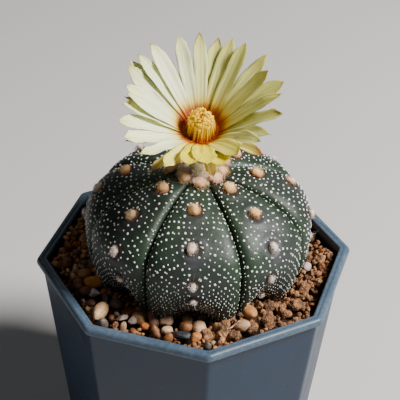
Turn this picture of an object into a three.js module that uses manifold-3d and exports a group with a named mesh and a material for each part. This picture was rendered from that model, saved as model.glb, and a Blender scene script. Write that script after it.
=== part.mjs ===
// A potted star cactus: a low ribbed globe with woolly areoles and one open flower,
// standing in grit in an octagonal plastic pot.
// Millimetres, +Z up. The origin is the middle of the pot's foot, and the pot's flats face X and Y.
import * as THREE from "three";
import { mergeVertices } from "three/addons/utils/BufferGeometryUtils.js";
import Module from "manifold-3d";

// ---------------------------------------------------------------- driving dimensions
const GAP = 0.4; // left between pieces that touch
const MERGE = 1e-4; // points closer than this are one point
const FINEST = 0.01; // detail finer than this, left by the cuts, is cleared away

const POT = {
  height: 96,
  rimHalf: 55, // middle to the outer face of the lip, across the flats
  lipDepth: 3.2, // from the top of the lip to its underside
  lipStep: 1.9, // how far the lip stands proud of the wall
  wallDraft: 0.109, // how far the wall leans in for each millimetre down
  wallThickness: 2,
  floorThickness: 3,
  outerCorner: 2.6, // radius of the eight upright edges
  innerCorner: 1.4,
  footRecess: 1.8, // the middle of the underside is raised by this
  footBand: 7, // width of the flat band that the pot stands on
  drainRadius: 6,
  sideDrainRadius: 3.5,
  sideDrainCircle: 24,
  sideDrains: 4,
  // Rounded outlines, each as a row of [distance, height].
  footRound: [
    [-0.8, 0],
    [0, 1],
  ], // outwards from the wall, up from the foot
  lip: [
    [-1.4, -3.2],
    [-0.5, -3],
    [0, -2.4],
    [0, -1.5],
    [-0.5, -0.5],
    [-1.5, 0],
  ], // outwards from the lip's face, up from the lip's top
  mouth: [
    [0, -1],
    [0.3, -0.4],
    [1, 0.2],
  ], // outwards from the inner wall, up from the lip's top
};

const SOIL = {
  depthBelowRim: 8.2, // at the pot's middle, without the grains
  slopeX: -0.03, // the filling lies higher on the left and in front
  slopeY: -0.02,
  bankHeight: 2, // the grains are heaped by this against the plant
  bankReach: 38, // distance from the plant's axis at which the heap ends
  bankWidth: 10,
  hiddenRadius: 24, // no grain lies nearer to the plant's axis, under the body
  grainSpacing: 6.9,
  grainJitter: 0.9,
  grainRadius: [3.3, 4.2],
  grainCorner: [0.78, 1.15], // how far a grain's corners stand out, as a share of its radius
  grainLift: 0.1, // shares of their size by which grains and stones stand above the filling
  stoneLift: 0.2,
  stoneClearance: 1.1, // between a stone that stands out and the next grain's middle
  edgeClearance: 2.6, // from a grain's middle to the wall
  topClearance: 2, // nothing of the filling stands nearer to the rim's level
  seed: 4189,
};

// Stones that stand out: x, y, length, width, height, azimuth of the long side in degrees.
const FEATURE_STONES = [
  [-29, -26, 7.4, 4.8, 4.2, 20],
  [-26, -31.5, 6.8, 4.2, 4.2, -25],
  [-20.5, -41, 10.5, 5.6, 5.4, 76],
  [-18.5, -35.5, 5, 4.8, 4.2, 0],
  [-19.8, -26.5, 5.2, 4.4, 4, 50],
  [-35, -24.5, 5.4, 5, 4.2, 10],
  [-43, -21.5, 5.2, 4, 3.8, 70],
  [-34.5, -31.5, 5.8, 4.6, 4.2, -40],
  [-12.5, -39.5, 5.6, 4, 3.8, 30],
  [-7.5, -41, 5.8, 5, 4.6, 15],
  [-3.5, -37.5, 7.6, 4.2, 4, 110],
  [1.9, -39, 6.8, 5, 4.8, 95],
  [4.9, -32.5, 7.4, 5, 4, 20],
  [9.9, -31, 5, 4.4, 4, 80],
  [8.9, -35.5, 5.2, 4.2, 4, -50],
  [9.6, -40, 5, 4.4, 4, 0],
  [14, -38, 7.6, 5.6, 5.2, 120],
  [9, -44.8, 9, 4.4, 4.4, 2],
  [22, -30.5, 8.6, 6.6, 5.2, 15],
  [22.5, -37, 7.6, 6.4, 5.2, 60],
  [17.8, -41.8, 6.2, 5.4, 4.6, -20],
  [29, -27, 7.2, 4.8, 4.6, -45],
  [28.5, -33.5, 6.2, 4.8, 4.4, 10],
  [41, 11, 4.6, 4, 3.8, 80],
];

const PLANT = {
  axisX: 1.6,
  axisY: -1.9,
  girth: 41.4, // radius over the ribs at the widest level
  widestHeight: 114,
  topRise: 20.9, // from the widest level to the crown
  baseDrop: 30.5, // from the widest level to the foot of the body
  crownDip: 2.5, // the crown is sunk by this
  crownDipReach: 6,
  grooveDepth: 3.6,
  grooveSharpness: 7, // flat broad ribs with narrow grooves between them
  grooveFade: 16, // grooves grow to full depth over this distance from the axis
  flankFullness: 3.1, // exponent of the outline below the widest level, beside the grooves
  flankSwell: 2.8, // how fast it grows from the seam's towards the groove
  frontRib: -74.8, // azimuth of the rib that faces the viewer, in degrees
  rootTop: 5.4, // radii of the taproot under the body
  rootBottom: 2.4,
  rootShoulder: 4, // depths of the root's two ends below the foot of the body
  rootDepth: 22,
};

// Azimuths of the eight grooves, counted from the front rib, in degrees.
const GROOVES = [25.5, 71, 114, 158, 203, 246, 289, 334];

// Each rib's outline: its superellipse exponents above the widest level and below it, the second
// one on the seam of old areoles, which has shrunk; and the seam's share of the way to the groove.
const RIB_FORMS = [
  [2.1, 1.95, 0],
  [2.1, 1.75, -0.35],
  [2.3, 2, 0],
  [2.1, 2, 0],
  [2.1, 2, 0],
  [2.1, 2, 0],
  [2.1, 2, 0],
  [2.1, 1.75, 0.3],
];

// Areoles of each rib, starting with the front rib: the distance from the crown along the rib,
// and the degrees by which the areole stands off the rib's middle line.
const AREOLES = [
  [[21.8, -2], [37, -1], [50.3, 0], [57.8, 0.5]],
  [[14.8, 0], [28.6, -1.8], [42, -3.8], [53.2, -7.5], [66, -6]],
  [[20.9, 2], [34.5, 6], [46.4, -5], [57, -4]],
  [[18, 0], [31, 2], [43, 0], [56, 0]],
  [[20, 0], [33, -2], [46, 0], [57, 2]],
  [[25, 2], [37.5, -3], [50, 0], [60, 0]],
  [[28, -6], [39, 1], [51, 2], [60, 0]],
  [[16.9, -1], [31.9, 1.3], [45.7, 4.6], [56.3, 8.4]],
];

const AREOLE = {
  radius: [2.8, 1.5], // of a young and of an old one
  age: [20, 58], // their distances from the crown
  flatness: 0.72,
  sink: 0.5,
};

// Youngest areoles round the flower's foot: azimuth from the front rib in degrees, distance from the axis.
const CROWN_PADS = [
  [4, 9.8],
  [48, 8.6],
  [82, 8.6],
  [121, 10.2],
  [163, 9],
  [205, 9.8],
  [240, 8.8],
  [274, 10.6],
  [322, 8.2],
];
const WOOL = {
  padRadius: 2.9,
  padFlatness: 0.75,
  padBreadth: 1.15,
  padHeight: 0.9, // over the crown
  ring: [
    [4, -2.5],
    [8.8, -2.5],
    [9.4, 0.2],
    [7.4, 1.6],
    [5.2, 1.3],
    [4, 0],
  ], // its section: distance from the axis, height over the crown
};

const FLOWER = {
  lean: 21.3, // degrees from upright
  leanAzimuth: -73,
  reach: 29, // from the crown to the flower's middle
  tubeFoot: -26.6, // heights along the flower's axis, counted from its middle
  tubeTop: -6,
  tubeFootRadius: 3.1,
  tubeNeckRadius: 3.4,
  tubeNeck: [0.2, 0.5], // shares of the tube's length between which it is slimmest
  tubeTopRadius: 4.6,
  cup: [
    [0, 0],
    [4.6, 0],
    [5.6, 2],
    [7.3, 4.2],
    [8.9, 6.2],
    [8.4, 6.9],
    [6.2, 4.9],
    [4.4, 2.6],
    [3.6, 1.2],
    [0, 1.1],
  ], // its section: distance from the axis, height over its foot
  petalThickness: 0.7,
  petalRoot: 6.6, // distance of the petals' roots from the axis
  petalRootHeight: -0.7,
  petalCup: 14, // degrees by which a petal leaves the cup steeper than its tip lies
  petalPull: 0.42, // how far along a petal its bow is drawn out
};

// Petals: azimuth, lift of the tip and length from the flower's middle, widest width.
const PETALS = [
  [126, 32, 32.5, 5.6],
  [107, 30, 33, 5.2],
  [98, 25, 32.5, 5.6],
  [88, 27, 33, 5.8],
  [74, 31, 33, 5.8],
  [56, 30, 33.5, 5.8],
  [42, 37, 31.5, 5.2],
  [34, 28, 33, 5.6],
  [23, 33, 31.5, 5.4],
  [12, 38, 32, 5.4],
  [2, 34, 33, 5.4],
  [-12, 34, 32, 5.4],
  [-27, 34, 31, 5.8],
  [-43, 33, 30, 6.6],
  [-57, 29, 29.5, 6.8],
  [-69, 31, 29, 6.8],
  [-81, 30, 30.5, 6.6],
  [-97, 26, 32, 5.4],
  [-116, 24, 32.5, 5.2],
  [-130, 25, 33, 5.4],
  [-145, 29, 33, 5.4],
  [-152, 34, 32, 5.2],
  [-160, 37, 32, 5.2],
  [-173, 34, 31.5, 5.4],
  [174, 30, 33, 5.6],
  [162, 27, 33.5, 5.6],
  [156, 32, 33, 5.6],
  [146, 33, 33.5, 5.8],
];

// Outer petals: narrower, lower and brown at the tip.
const OUTER_PETALS = [
  [136, 20, 29, 3.8],
  [92, 15, 28, 3.8],
  [64, 16, 28, 3.8],
  [18, 17, 28, 3.8],
  [-20, 18, 28, 3.8],
  [-62, 19, 30, 4],
  [-106, 12, 28, 3.8],
  [-138, 14, 28.5, 3.8],
  [-178, 15, 28, 3.8],
];

const SCALES = {
  rows: 4,
  perRow: 6,
  twist: 7, // degrees by which each row is turned on
  length: 7.5,
  width: 2.2,
  thickness: 0.9,
  flare: [12, 26], // degrees that the scales stand away, at the tube's foot and top
  sink: 0.7,
  curl: 0.5,
};
const STAMENS = {
  core: [
    [1.3, -4],
    [2.9, -4],
    [3.6, 1.6],
    [3.2, 4.4],
    [2.1, 5.3],
    [1.3, 5],
  ], // section of the bundle of filaments: distance from the axis, height
  rings: [
    [5, 2.6, 7.6],
    [9, 3.8, 6.8],
    [12, 4.6, 5.3],
    [12, 4.9, 3.6],
  ], // count, distance of the anthers from the axis, their height
  ringTurn: 0.37, // by which each ring is turned on, as a share of its spacing
  rootRadius: 2.2, // where a filament leaves the bundle
  rootDrop: 2.8, // and how far below its anther
  filamentRadius: 0.38,
  antherRadius: 0.68,
};
const PISTIL = {
  styleRadius: 0.8,
  foot: -4,
  top: 6.2,
  lobes: 8,
  lobeRoot: 5.8,
  lobeLength: 2.6,
  lobeRadius: 0.45,
  lobeRise: 38,
};

// Sides of the turned pieces.
const SIDES = {
  drain: 16,
  wool: 24,
  tube: 16,
  cup: 24,
  stamens: 16,
  stamen: 4,
  style: 8,
  lobe: 5,
};

// ---------------------------------------------------------------- helpers
const manifold = await Module();
manifold.setup();

const radians = THREE.MathUtils.degToRad;
const lerp = THREE.MathUtils.lerp;

function seededRandom(seed) {
  let state = seed;
  return () => {
    state = (state + 0x6d2b79f5) | 0;
    let mixed = Math.imul(state ^ (state >>> 15), 1 | state);
    mixed = (mixed + Math.imul(mixed ^ (mixed >>> 7), 61 | mixed)) ^ mixed;
    return ((mixed ^ (mixed >>> 14)) >>> 0) / 4294967296;
  };
}

function toSolid(geometry, matrix) {
  const bare = new THREE.BufferGeometry();
  bare.setAttribute("position", geometry.getAttribute("position").clone());
  bare.setIndex(geometry.getIndex());
  if (matrix) {
    bare.applyMatrix4(matrix);
  }
  const merged = mergeVertices(bare, MERGE);
  return new manifold.Manifold(
    new manifold.Mesh({
      numProp: 3,
      vertProperties: Float32Array.from(merged.getAttribute("position").array),
      triVerts: Uint32Array.from(merged.getIndex().array),
    }),
  );
}

function toGeometry(solid) {
  const mesh = solid.asOriginal().simplify(FINEST).getMesh();
  const geometry = new THREE.BufferGeometry();
  geometry.setAttribute("position", new THREE.BufferAttribute(mesh.vertProperties, 3));
  geometry.setIndex(new THREE.BufferAttribute(mesh.triVerts, 1));
  geometry.computeVertexNormals();
  return geometry;
}

// A profile that closes on itself, moved up.
function closedRing(profile, height) {
  const raised = profile.map(([radius, z]) => [radius, z + height]);
  return [...raised, raised[0]];
}

function fuse(solids) {
  return solids.reduce((whole, next) => whole.add(next));
}

// A closed skin over sections that follow one another, each a loop with the same number of points.
// Seen from the end of the row of sections, each loop runs anticlockwise.
function loft(sections) {
  const count = sections[0].length;
  const positions = sections.flat().flatMap((point) => [point.x, point.y, point.z]);
  const index = [];
  for (let s = 0; s < sections.length - 1; s += 1) {
    for (let i = 0; i < count; i += 1) {
      const a = s * count + i;
      const b = s * count + ((i + 1) % count);
      index.push(a, b, b + count, a, b + count, a + count);
    }
  }
  const last = (sections.length - 1) * count;
  for (let i = 1; i < count - 1; i += 1) {
    index.push(0, i + 1, i);
    index.push(last, last + i, last + i + 1);
  }
  const geometry = new THREE.BufferGeometry();
  geometry.setAttribute("position", new THREE.Float32BufferAttribute(positions, 3));
  geometry.setIndex(index);
  return geometry;
}

// A solid of revolution about Z. Its profile is a row of [radius, height], from bottom to top.
function turned(profile, segments) {
  const lathe = new THREE.LatheGeometry(
    profile.map(([radius, height]) => new THREE.Vector2(radius, height)),
    segments,
  );
  return lathe.rotateX(Math.PI / 2);
}

function polar(radius, azimuth, height) {
  return new THREE.Vector3(radius * Math.cos(azimuth), radius * Math.sin(azimuth), height);
}

// ---------------------------------------------------------------- pot
function octagon(half, corner, height) {
  const points = [];
  const reach = (half - corner) / Math.cos(Math.PI / 8);
  for (let side = 0; side < 8; side += 1) {
    const middle = radians(22.5 + 45 * side);
    for (const turn of [-22.5, 0, 22.5]) {
      const normal = middle + radians(turn);
      points.push(
        new THREE.Vector3(
          reach * Math.cos(middle) + corner * Math.cos(normal),
          reach * Math.sin(middle) + corner * Math.sin(normal),
          height,
        ),
      );
    }
  }
  return points;
}

function wallHalf(height) {
  const underLip = POT.height - POT.lipDepth;
  return POT.rimHalf - POT.lipStep - POT.wallDraft * (underLip - height);
}

function octagonBlock(rows, corner) {
  return toSolid(loft(rows.map(([half, height]) => octagon(half, corner, height))));
}

function cavityBlock(inset, floor, top) {
  const rows = [floor, top].map((height) => [wallHalf(height) - POT.wallThickness - inset, height]);
  return octagonBlock(rows, POT.innerCorner);
}

function buildPot() {
  const { height, rimHalf, lipDepth, footRecess } = POT;
  const underLip = height - lipDepth - 0.6;
  const foot = POT.footRound.map(([out, up]) => [wallHalf(up) + out, up]);
  const lip = POT.lip.map(([out, up]) => [rimHalf + out, height + up]);
  const outside = octagonBlock([...foot, [wallHalf(underLip), underLip], ...lip], POT.outerCorner);
  const inner = wallHalf(height - lipDepth) - POT.wallThickness;
  const mouth = octagonBlock(
    POT.mouth.map(([out, up]) => [inner + out, height + up]),
    POT.innerCorner,
  );
  const recessHalf = wallHalf(0) - POT.footBand;
  const recessRows = [-1, footRecess].map((up) => [recessHalf - Math.max(up, 0) / footRecess, up]);
  const recess = octagonBlock(recessRows, POT.innerCorner);
  const holes = [drainHole(POT.drainRadius, 0, 0)];
  for (let i = 0; i < POT.sideDrains; i += 1) {
    const azimuth = (2 * Math.PI * i) / POT.sideDrains;
    const x = POT.sideDrainCircle * Math.cos(azimuth);
    const y = POT.sideDrainCircle * Math.sin(azimuth);
    holes.push(drainHole(POT.sideDrainRadius, x, y));
  }
  const cavity = cavityBlock(0, POT.floorThickness, height - 0.8);
  const shell = outside.subtract(cavity).subtract(mouth).subtract(recess);
  return holes.reduce((solid, hole) => solid.subtract(hole), shell);
}

function drainHole(radius, x, y) {
  const pin = new THREE.CylinderGeometry(radius, radius, 4 * POT.floorThickness, SIDES.drain);
  pin.rotateX(Math.PI / 2);
  return toSolid(pin.translate(x, y, 0));
}

// ---------------------------------------------------------------- body of the plant
// Outline over the ribs: the distance from the axis and the height, for a level between
// -1 at the foot, 0 at the widest place and 1 at the crown.
function ribOutline(level, [above, below]) {
  const turn = Math.abs(level) * (Math.PI / 2);
  const fullness = level > 0 ? above : below;
  const rise = level > 0 ? PLANT.topRise : -PLANT.baseDrop;
  const radius = PLANT.girth * Math.abs(Math.cos(turn)) ** (2 / fullness);
  const height = PLANT.widestHeight + rise * Math.abs(Math.sin(turn)) ** (2 / fullness);
  return [radius, height];
}

function outlineNormal(level, fullness) {
  const [r0, z0] = ribOutline(level - 0.002, fullness);
  const [r1, z1] = ribOutline(level + 0.002, fullness);
  const length = Math.hypot(r1 - r0, z1 - z0);
  return [(z1 - z0) / length, -(r1 - r0) / length];
}

function crownDip(radius) {
  return PLANT.crownDip * Math.exp(-((radius / PLANT.crownDipReach) ** 2));
}

// How deep the body is cut in, for a share of the way from a rib's middle to its groove.
function grooveCut(radius, share) {
  const depth = PLANT.grooveDepth * Math.min(radius / PLANT.grooveFade, 1);
  return depth * share ** PLANT.grooveSharpness;
}

// A point of the body, moved inwards by the groove's depth there and outwards by a clearance.
function bodyPoint(level, { azimuth, share, fullness }, grooved, clearance) {
  const [radius, height] = ribOutline(level, fullness);
  const [outward, upward] = outlineNormal(level, fullness);
  const cut = grooved * grooveCut(radius, Math.abs(share)) - clearance;
  const r = Math.max(radius - cut * outward, 0);
  const z = height - cut * upward - crownDip(r);
  return polar(r, azimuth, z);
}

// One column of the body: its azimuth and the exponents of its outline, which meets the next rib's
// in the groove. The share runs from -1 to 1 across the rib.
function ribColumn(rib, share) {
  const count = GROOVES.length;
  const start = rib === 0 ? GROOVES[count - 1] - 360 : GROOVES[rib - 1];
  const middle = (start + GROOVES[rib]) / 2;
  const half = (GROOVES[rib] - start) / 2;
  const [top, seamFullness, seam] = RIB_FORMS[rib];
  const nextTop = RIB_FORMS[(rib + Math.sign(share) + count) % count][0];
  const above = lerp(top, Math.min(top, nextTop), Math.abs(share) ** 3);
  const below = Math.min(seamFullness + PLANT.flankSwell * (share - seam) ** 2, PLANT.flankFullness);
  const azimuth = radians(PLANT.frontRib + middle + half * share);
  return { azimuth, half, share, fullness: [above, below] };
}

function ribColumns(shares) {
  return GROOVES.flatMap((_, rib) => shares.map((share) => ribColumn(rib, share)));
}

// Shares across a rib at which the body has a column of points, and its levels.
const RIB_SHARES = [-1, -0.88, -0.6, -0.25, 0.25, 0.6, 0.88];
const BODY_LEVELS = {
  below: [-0.84, -0.72, -0.59, -0.45, -0.3, -0.15, 0],
  above: [0.14, 0.28, 0.41, 0.53, 0.64, 0.74, 0.82, 0.88, 0.93, 0.97],
};

function ribbedGlobe() {
  return bodyLoft(RIB_SHARES, 1, 0);
}

// The body over some columns, with (1) or without (0) its grooves, grown by a clearance.
function bodyLoft(shares, grooved, clearance) {
  const columns = ribColumns(shares);
  const levels = [...BODY_LEVELS.below, ...BODY_LEVELS.above];
  const bodyRows = levels.map((level) => {
    return columns.map((column) => bodyPoint(level, column, grooved, clearance));
  });
  const foot = PLANT.widestHeight - PLANT.baseDrop;
  const rootRows = [
    [PLANT.rootBottom, foot - PLANT.rootDepth - clearance],
    [PLANT.rootTop, foot - PLANT.rootShoulder],
  ].map(([radius, z]) => columns.map(({ azimuth }) => polar(radius + clearance, azimuth, z)));
  return toSolid(loft([...rootRows, ...bodyRows]));
}

// The place on an outline at a distance from the crown, and the surface's lean there.
function alongRib(arc, fullness) {
  const step = 0.004;
  let travelled = 0;
  let level = 1;
  let [r0, z0] = ribOutline(1, fullness);
  while (travelled < arc) {
    level -= step;
    const [r1, z1] = ribOutline(level, fullness);
    travelled += Math.hypot(r1 - r0, z1 - z0);
    [r0, z0] = [r1, z1];
  }
  return { radius: r0, height: z0 - crownDip(r0), normal: outlineNormal(level, fullness) };
}

function areole(rib, arc, shift, clearance) {
  const { azimuth, fullness } = ribColumn(rib, shift / ribColumn(rib, 0).half);
  const { radius, height, normal } = alongRib(arc, fullness);
  const [outward, upward] = normal;
  const age = THREE.MathUtils.clamp((arc - AREOLE.age[0]) / (AREOLE.age[1] - AREOLE.age[0]), 0, 1);
  const size = lerp(...AREOLE.radius, age);
  const depth = size * AREOLE.flatness;
  const r = radius - outward * depth * AREOLE.sink;
  const z = height - upward * depth * AREOLE.sink;
  const facing = polar(outward, azimuth, upward);
  const turn = new THREE.Quaternion().setFromUnitVectors(new THREE.Vector3(0, 0, 1), facing);
  const place = new THREE.Matrix4().compose(
    polar(r, azimuth, z),
    turn,
    new THREE.Vector3(size + clearance, size + clearance, depth * (1 + AREOLE.sink) + clearance),
  );
  return toSolid(new THREE.IcosahedronGeometry(1, 0), place);
}

function areolePads(clearance) {
  return AREOLES.flatMap((places, rib) => {
    return places.map(([arc, shift]) => areole(rib, arc, shift, clearance));
  });
}

const plantPlace = new THREE.Matrix4().makeTranslation(PLANT.axisX, PLANT.axisY, 0);

function buildBody() {
  return fuse([ribbedGlobe(), ...areolePads(0)]);
}

// The space that the body needs: it cuts the places where the body stands.
function grownBody(shares) {
  return bodyLoft(shares, 0, GAP);
}

// ---------------------------------------------------------------- flower's own frame
// The flower leans towards the viewer. Its frame has +Z along its axis and its origin in the
// middle of its throat.
function flowerPlace() {
  const azimuth = radians(FLOWER.leanAzimuth);
  const lean = new THREE.Matrix4()
    .makeRotationZ(azimuth)
    .multiply(new THREE.Matrix4().makeRotationY(radians(FLOWER.lean)))
    .multiply(new THREE.Matrix4().makeRotationZ(-azimuth));
  const crown = new THREE.Vector3(0, 0, PLANT.widestHeight + PLANT.topRise - PLANT.crownDip);
  const axis = new THREE.Vector3(0, 0, 1).applyMatrix4(lean);
  const middle = crown.addScaledVector(axis, FLOWER.reach);
  return new THREE.Matrix4().makeTranslation(middle).multiply(lean);
}

const flowerMatrix = flowerPlace();

// ---------------------------------------------------------------- crown wool
function buildWool() {
  const crown = PLANT.widestHeight + PLANT.topRise;
  const ring = toSolid(turned(closedRing(WOOL.ring, crown), SIDES.wool));
  const pads = CROWN_PADS.map(([turn, radius]) => {
    const azimuth = radians(PLANT.frontRib + turn);
    const size = WOOL.padRadius;
    const place = new THREE.Matrix4()
      .makeTranslation(radius * Math.cos(azimuth), radius * Math.sin(azimuth), crown + WOOL.padHeight)
      .multiply(new THREE.Matrix4().makeRotationZ(azimuth))
      .multiply(new THREE.Matrix4().makeScale(size, size * WOOL.padBreadth, size * WOOL.padFlatness));
    return toSolid(new THREE.IcosahedronGeometry(1, 0), place);
  });
  const tubeSpace = new THREE.CylinderGeometry(
    FLOWER.tubeNeckRadius + 2 * GAP,
    FLOWER.tubeNeckRadius + 2 * GAP,
    2 * SCALES.length,
    SIDES.wool,
  );
  tubeSpace.rotateX(Math.PI / 2).translate(0, 0, FLOWER.tubeFoot);
  const wool = fuse([ring, ...pads]).subtract(grownBody([-1, -0.25, 0.25]));
  return wool.subtract(toSolid(tubeSpace, flowerMatrix));
}

// ---------------------------------------------------------------- flower
function buildTube() {
  const { tubeFoot, tubeTop, tubeFootRadius, tubeNeckRadius, tubeNeck, tubeTopRadius } = FLOWER;
  const neck = tubeNeck.map((share) => [tubeNeckRadius, lerp(tubeFoot, tubeTop, share)]);
  const profile = [
    [0, tubeFoot],
    [tubeFootRadius, tubeFoot],
    ...neck,
    [tubeTopRadius, tubeTop],
    [0, tubeTop],
  ];
  const core = toSolid(turned(profile, SIDES.tube));
  const scales = [];
  for (let row = 0; row < SCALES.rows; row += 1) {
    for (let i = 0; i < SCALES.perRow; i += 1) {
      const azimuth = (360 / SCALES.perRow) * (i + 0.5 * (row % 2)) + SCALES.twist * row;
      scales.push(tubeScale(radians(azimuth), (row + 0.25) / SCALES.rows));
    }
  }
  return fuse([core, ...scales]);
}

// One pointed scale: a thin wedge that springs from the tube and stands a little away from it.
function tubeScale(azimuth, share) {
  const { length, width, thickness, flare, sink, curl } = SCALES;
  const foot = lerp(FLOWER.tubeFoot, FLOWER.tubeTop, share);
  const start = lerp(FLOWER.tubeFootRadius, FLOWER.tubeTopRadius, share) - sink;
  const rows = [
    [0, 0.8],
    [0.5, 1],
    [1, 0.12],
  ];
  const lean = radians(lerp(...flare, share));
  const sections = rows.map(([along, girth]) => {
    const out = start + Math.sin(lean) * along * length + curl * along * along;
    const up = foot + Math.cos(lean) * along * length;
    const half = (width * girth) / 2;
    const thick = thickness * Math.max(girth, 0.5);
    return [
      [out, -half],
      [out + thick, 0],
      [out, half],
    ].map(([r, side]) => new THREE.Vector3(r, side, up));
  });
  return toSolid(loft(sections), new THREE.Matrix4().makeRotationZ(azimuth));
}

// Share of the way to the tip, and the width there as a share of the widest.
const PETAL_STATIONS = [
  [0, 0.5],
  [0.25, 0.74],
  [0.5, 0.94],
  [0.72, 1],
  [0.89, 0.76],
  [1, 0.16],
];

// A petal's middle line bows from its root in the cup to its tip.
function petalLine(lift, length) {
  const tip = radians(lift);
  const root = new THREE.Vector2(FLOWER.petalRoot, FLOWER.petalRootHeight);
  const end = new THREE.Vector2(length * Math.cos(tip), length * Math.sin(tip));
  const rising = radians(lift + FLOWER.petalCup);
  const reach = FLOWER.petalPull * root.distanceTo(end);
  const pull = new THREE.Vector2(root.x + reach * Math.cos(rising), root.y + reach * Math.sin(rising));
  return new THREE.QuadraticBezierCurve(root, pull, end);
}

function petal([azimuth, lift, length, width]) {
  const line = petalLine(lift, length);
  const sections = PETAL_STATIONS.map(([along, girth]) => {
    const point = line.getPoint(along);
    const tangent = line.getTangent(along);
    const normal = new THREE.Vector2(-tangent.y, tangent.x);
    const half = (width * girth) / 2;
    const lid = new THREE.Vector2().copy(point).addScaledVector(normal, FLOWER.petalThickness);
    return [
      new THREE.Vector3(point.x, half, point.y),
      new THREE.Vector3(lid.x, half, lid.y),
      new THREE.Vector3(lid.x, -half, lid.y),
      new THREE.Vector3(point.x, -half, point.y),
    ];
  });
  return toSolid(loft(sections), new THREE.Matrix4().makeRotationZ(radians(azimuth)));
}

function buildPetals() {
  const foot = FLOWER.tubeTop + GAP;
  const profile = FLOWER.cup.map(([radius, height]) => [radius, foot + height]);
  const cup = toSolid(turned(profile, SIDES.cup));
  const petals = [...OUTER_PETALS, ...PETALS].map(petal);
  return fuse([cup, ...petals]);
}

function buildStamens() {
  const { rings, ringTurn, rootRadius, rootDrop } = STAMENS;
  const parts = [toSolid(turned(closedRing(STAMENS.core, 0), SIDES.stamens))];
  rings.forEach(([count, radius, height], ring) => {
    for (let i = 0; i < count; i += 1) {
      const azimuth = (2 * Math.PI * (i + ringTurn * ring)) / count;
      parts.push(stamen(polar(rootRadius, azimuth, height - rootDrop), polar(radius, azimuth, height)));
    }
  });
  return fuse(parts);
}

// Stands a solid of revolution on a point and turns its axis towards another.
function pointed(profile, sides, foot, tip) {
  const along = tip.clone().sub(foot).normalize();
  const turn = new THREE.Quaternion().setFromUnitVectors(new THREE.Vector3(0, 0, 1), along);
  const place = new THREE.Matrix4().makeRotationFromQuaternion(turn).setPosition(foot);
  return toSolid(turned(profile, sides), place);
}

// A filament with its anther, as one slim club.
function stamen(foot, tip) {
  const { filamentRadius, antherRadius } = STAMENS;
  const length = foot.distanceTo(tip);
  const profile = [
    [0, 0],
    [filamentRadius, 0],
    [filamentRadius, length - antherRadius],
    [antherRadius, length],
    [0, length + antherRadius],
  ];
  return pointed(profile, SIDES.stamen, foot, tip);
}

function rod(foot, tip, radius, sides) {
  const length = foot.distanceTo(tip);
  const profile = [
    [0, 0],
    [radius, 0],
    [radius, length],
    [0, length],
  ];
  return pointed(profile, sides, foot, tip);
}

function buildPistil() {
  const { styleRadius, foot, top, lobes, lobeRoot, lobeLength, lobeRadius, lobeRise } = PISTIL;
  const parts = [rod(polar(0, 0, foot), polar(0, 0, top), styleRadius, SIDES.style)];
  const rise = radians(lobeRise);
  for (let i = 0; i < lobes; i += 1) {
    const azimuth = (2 * Math.PI * i) / lobes;
    const tip = polar(lobeLength * Math.cos(rise), azimuth, lobeRoot + lobeLength * Math.sin(rise));
    parts.push(rod(polar(0, 0, lobeRoot), tip, lobeRadius, SIDES.lobe));
  }
  return fuse(parts);
}

// ---------------------------------------------------------------- soil
function soilHeight(x, y) {
  return POT.height - SOIL.depthBelowRim + SOIL.slopeX * x + SOIL.slopeY * y;
}

// The grains are heaped a little against the plant.
function heapHeight(x, y) {
  const fromPlant = Math.hypot(x - PLANT.axisX, y - PLANT.axisY);
  const share = THREE.MathUtils.clamp((SOIL.bankReach - fromPlant) / SOIL.bankWidth, 0, 1);
  return soilHeight(x, y) + SOIL.bankHeight * share;
}

function insideWall(x, y, clearance) {
  const half = wallHalf(POT.height - SOIL.depthBelowRim) - POT.wallThickness - clearance;
  const slanted = Math.SQRT1_2;
  const reaches = [x, y, slanted * (x + y), slanted * (x - y)];
  return reaches.every((reach) => Math.abs(reach) < half);
}

// A broken grain: a block whose corners are pulled in by chance.
function grain(x, y, z, radius, random) {
  const block = new THREE.BoxGeometry(1, 1, 1);
  block.deleteAttribute("normal");
  block.deleteAttribute("uv");
  const lump = mergeVertices(block, MERGE);
  const corners = lump.getAttribute("position");
  for (let i = 0; i < corners.count; i += 1) {
    const corner = new THREE.Vector3().fromBufferAttribute(corners, i);
    corner.setLength(radius * lerp(...SOIL.grainCorner, random()));
    corners.setXYZ(i, corner.x, corner.y, corner.z);
  }
  const turn = new THREE.Euler(...[random(), random(), random()].map((share) => share * Math.PI));
  const place = new THREE.Matrix4().makeRotationFromEuler(turn).setPosition(x, y, z);
  return toSolid(lump, place);
}

function grainPlaces(random) {
  const jitter = () => lerp(-SOIL.grainJitter, SOIL.grainJitter, random());
  const places = [];
  const rowStep = SOIL.grainSpacing * Math.sqrt(0.75);
  const rows = Math.ceil(POT.rimHalf / rowStep);
  for (let row = -rows; row <= rows; row += 1) {
    for (let column = -rows; column <= rows; column += 1) {
      const x = SOIL.grainSpacing * (column + 0.5 * Math.abs(row % 2)) + jitter();
      const y = rowStep * row + jitter();
      places.push({ x, y, radius: lerp(...SOIL.grainRadius, random()) });
    }
  }
  return places;
}

function grainIsShown({ x, y }) {
  const fromPlant = Math.hypot(x - PLANT.axisX, y - PLANT.axisY);
  const clearOfFeatures = FEATURE_STONES.every(([fx, fy, length, width]) => {
    return Math.hypot(x - fx, y - fy) > 0.25 * (length + width) + SOIL.stoneClearance;
  });
  return insideWall(x, y, SOIL.edgeClearance) && fromPlant > SOIL.hiddenRadius && clearOfFeatures;
}

function featureStone([x, y, length, width, height, azimuth]) {
  const axes = [length / 2, width / 2, height / 2];
  const place = new THREE.Matrix4()
    .makeTranslation(x, y, soilHeight(x, y) + SOIL.stoneLift * height)
    .multiply(new THREE.Matrix4().makeRotationZ(radians(azimuth)))
    .multiply(new THREE.Matrix4().makeScale(...axes));
  return toSolid(new THREE.IcosahedronGeometry(1, 0), place);
}

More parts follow.
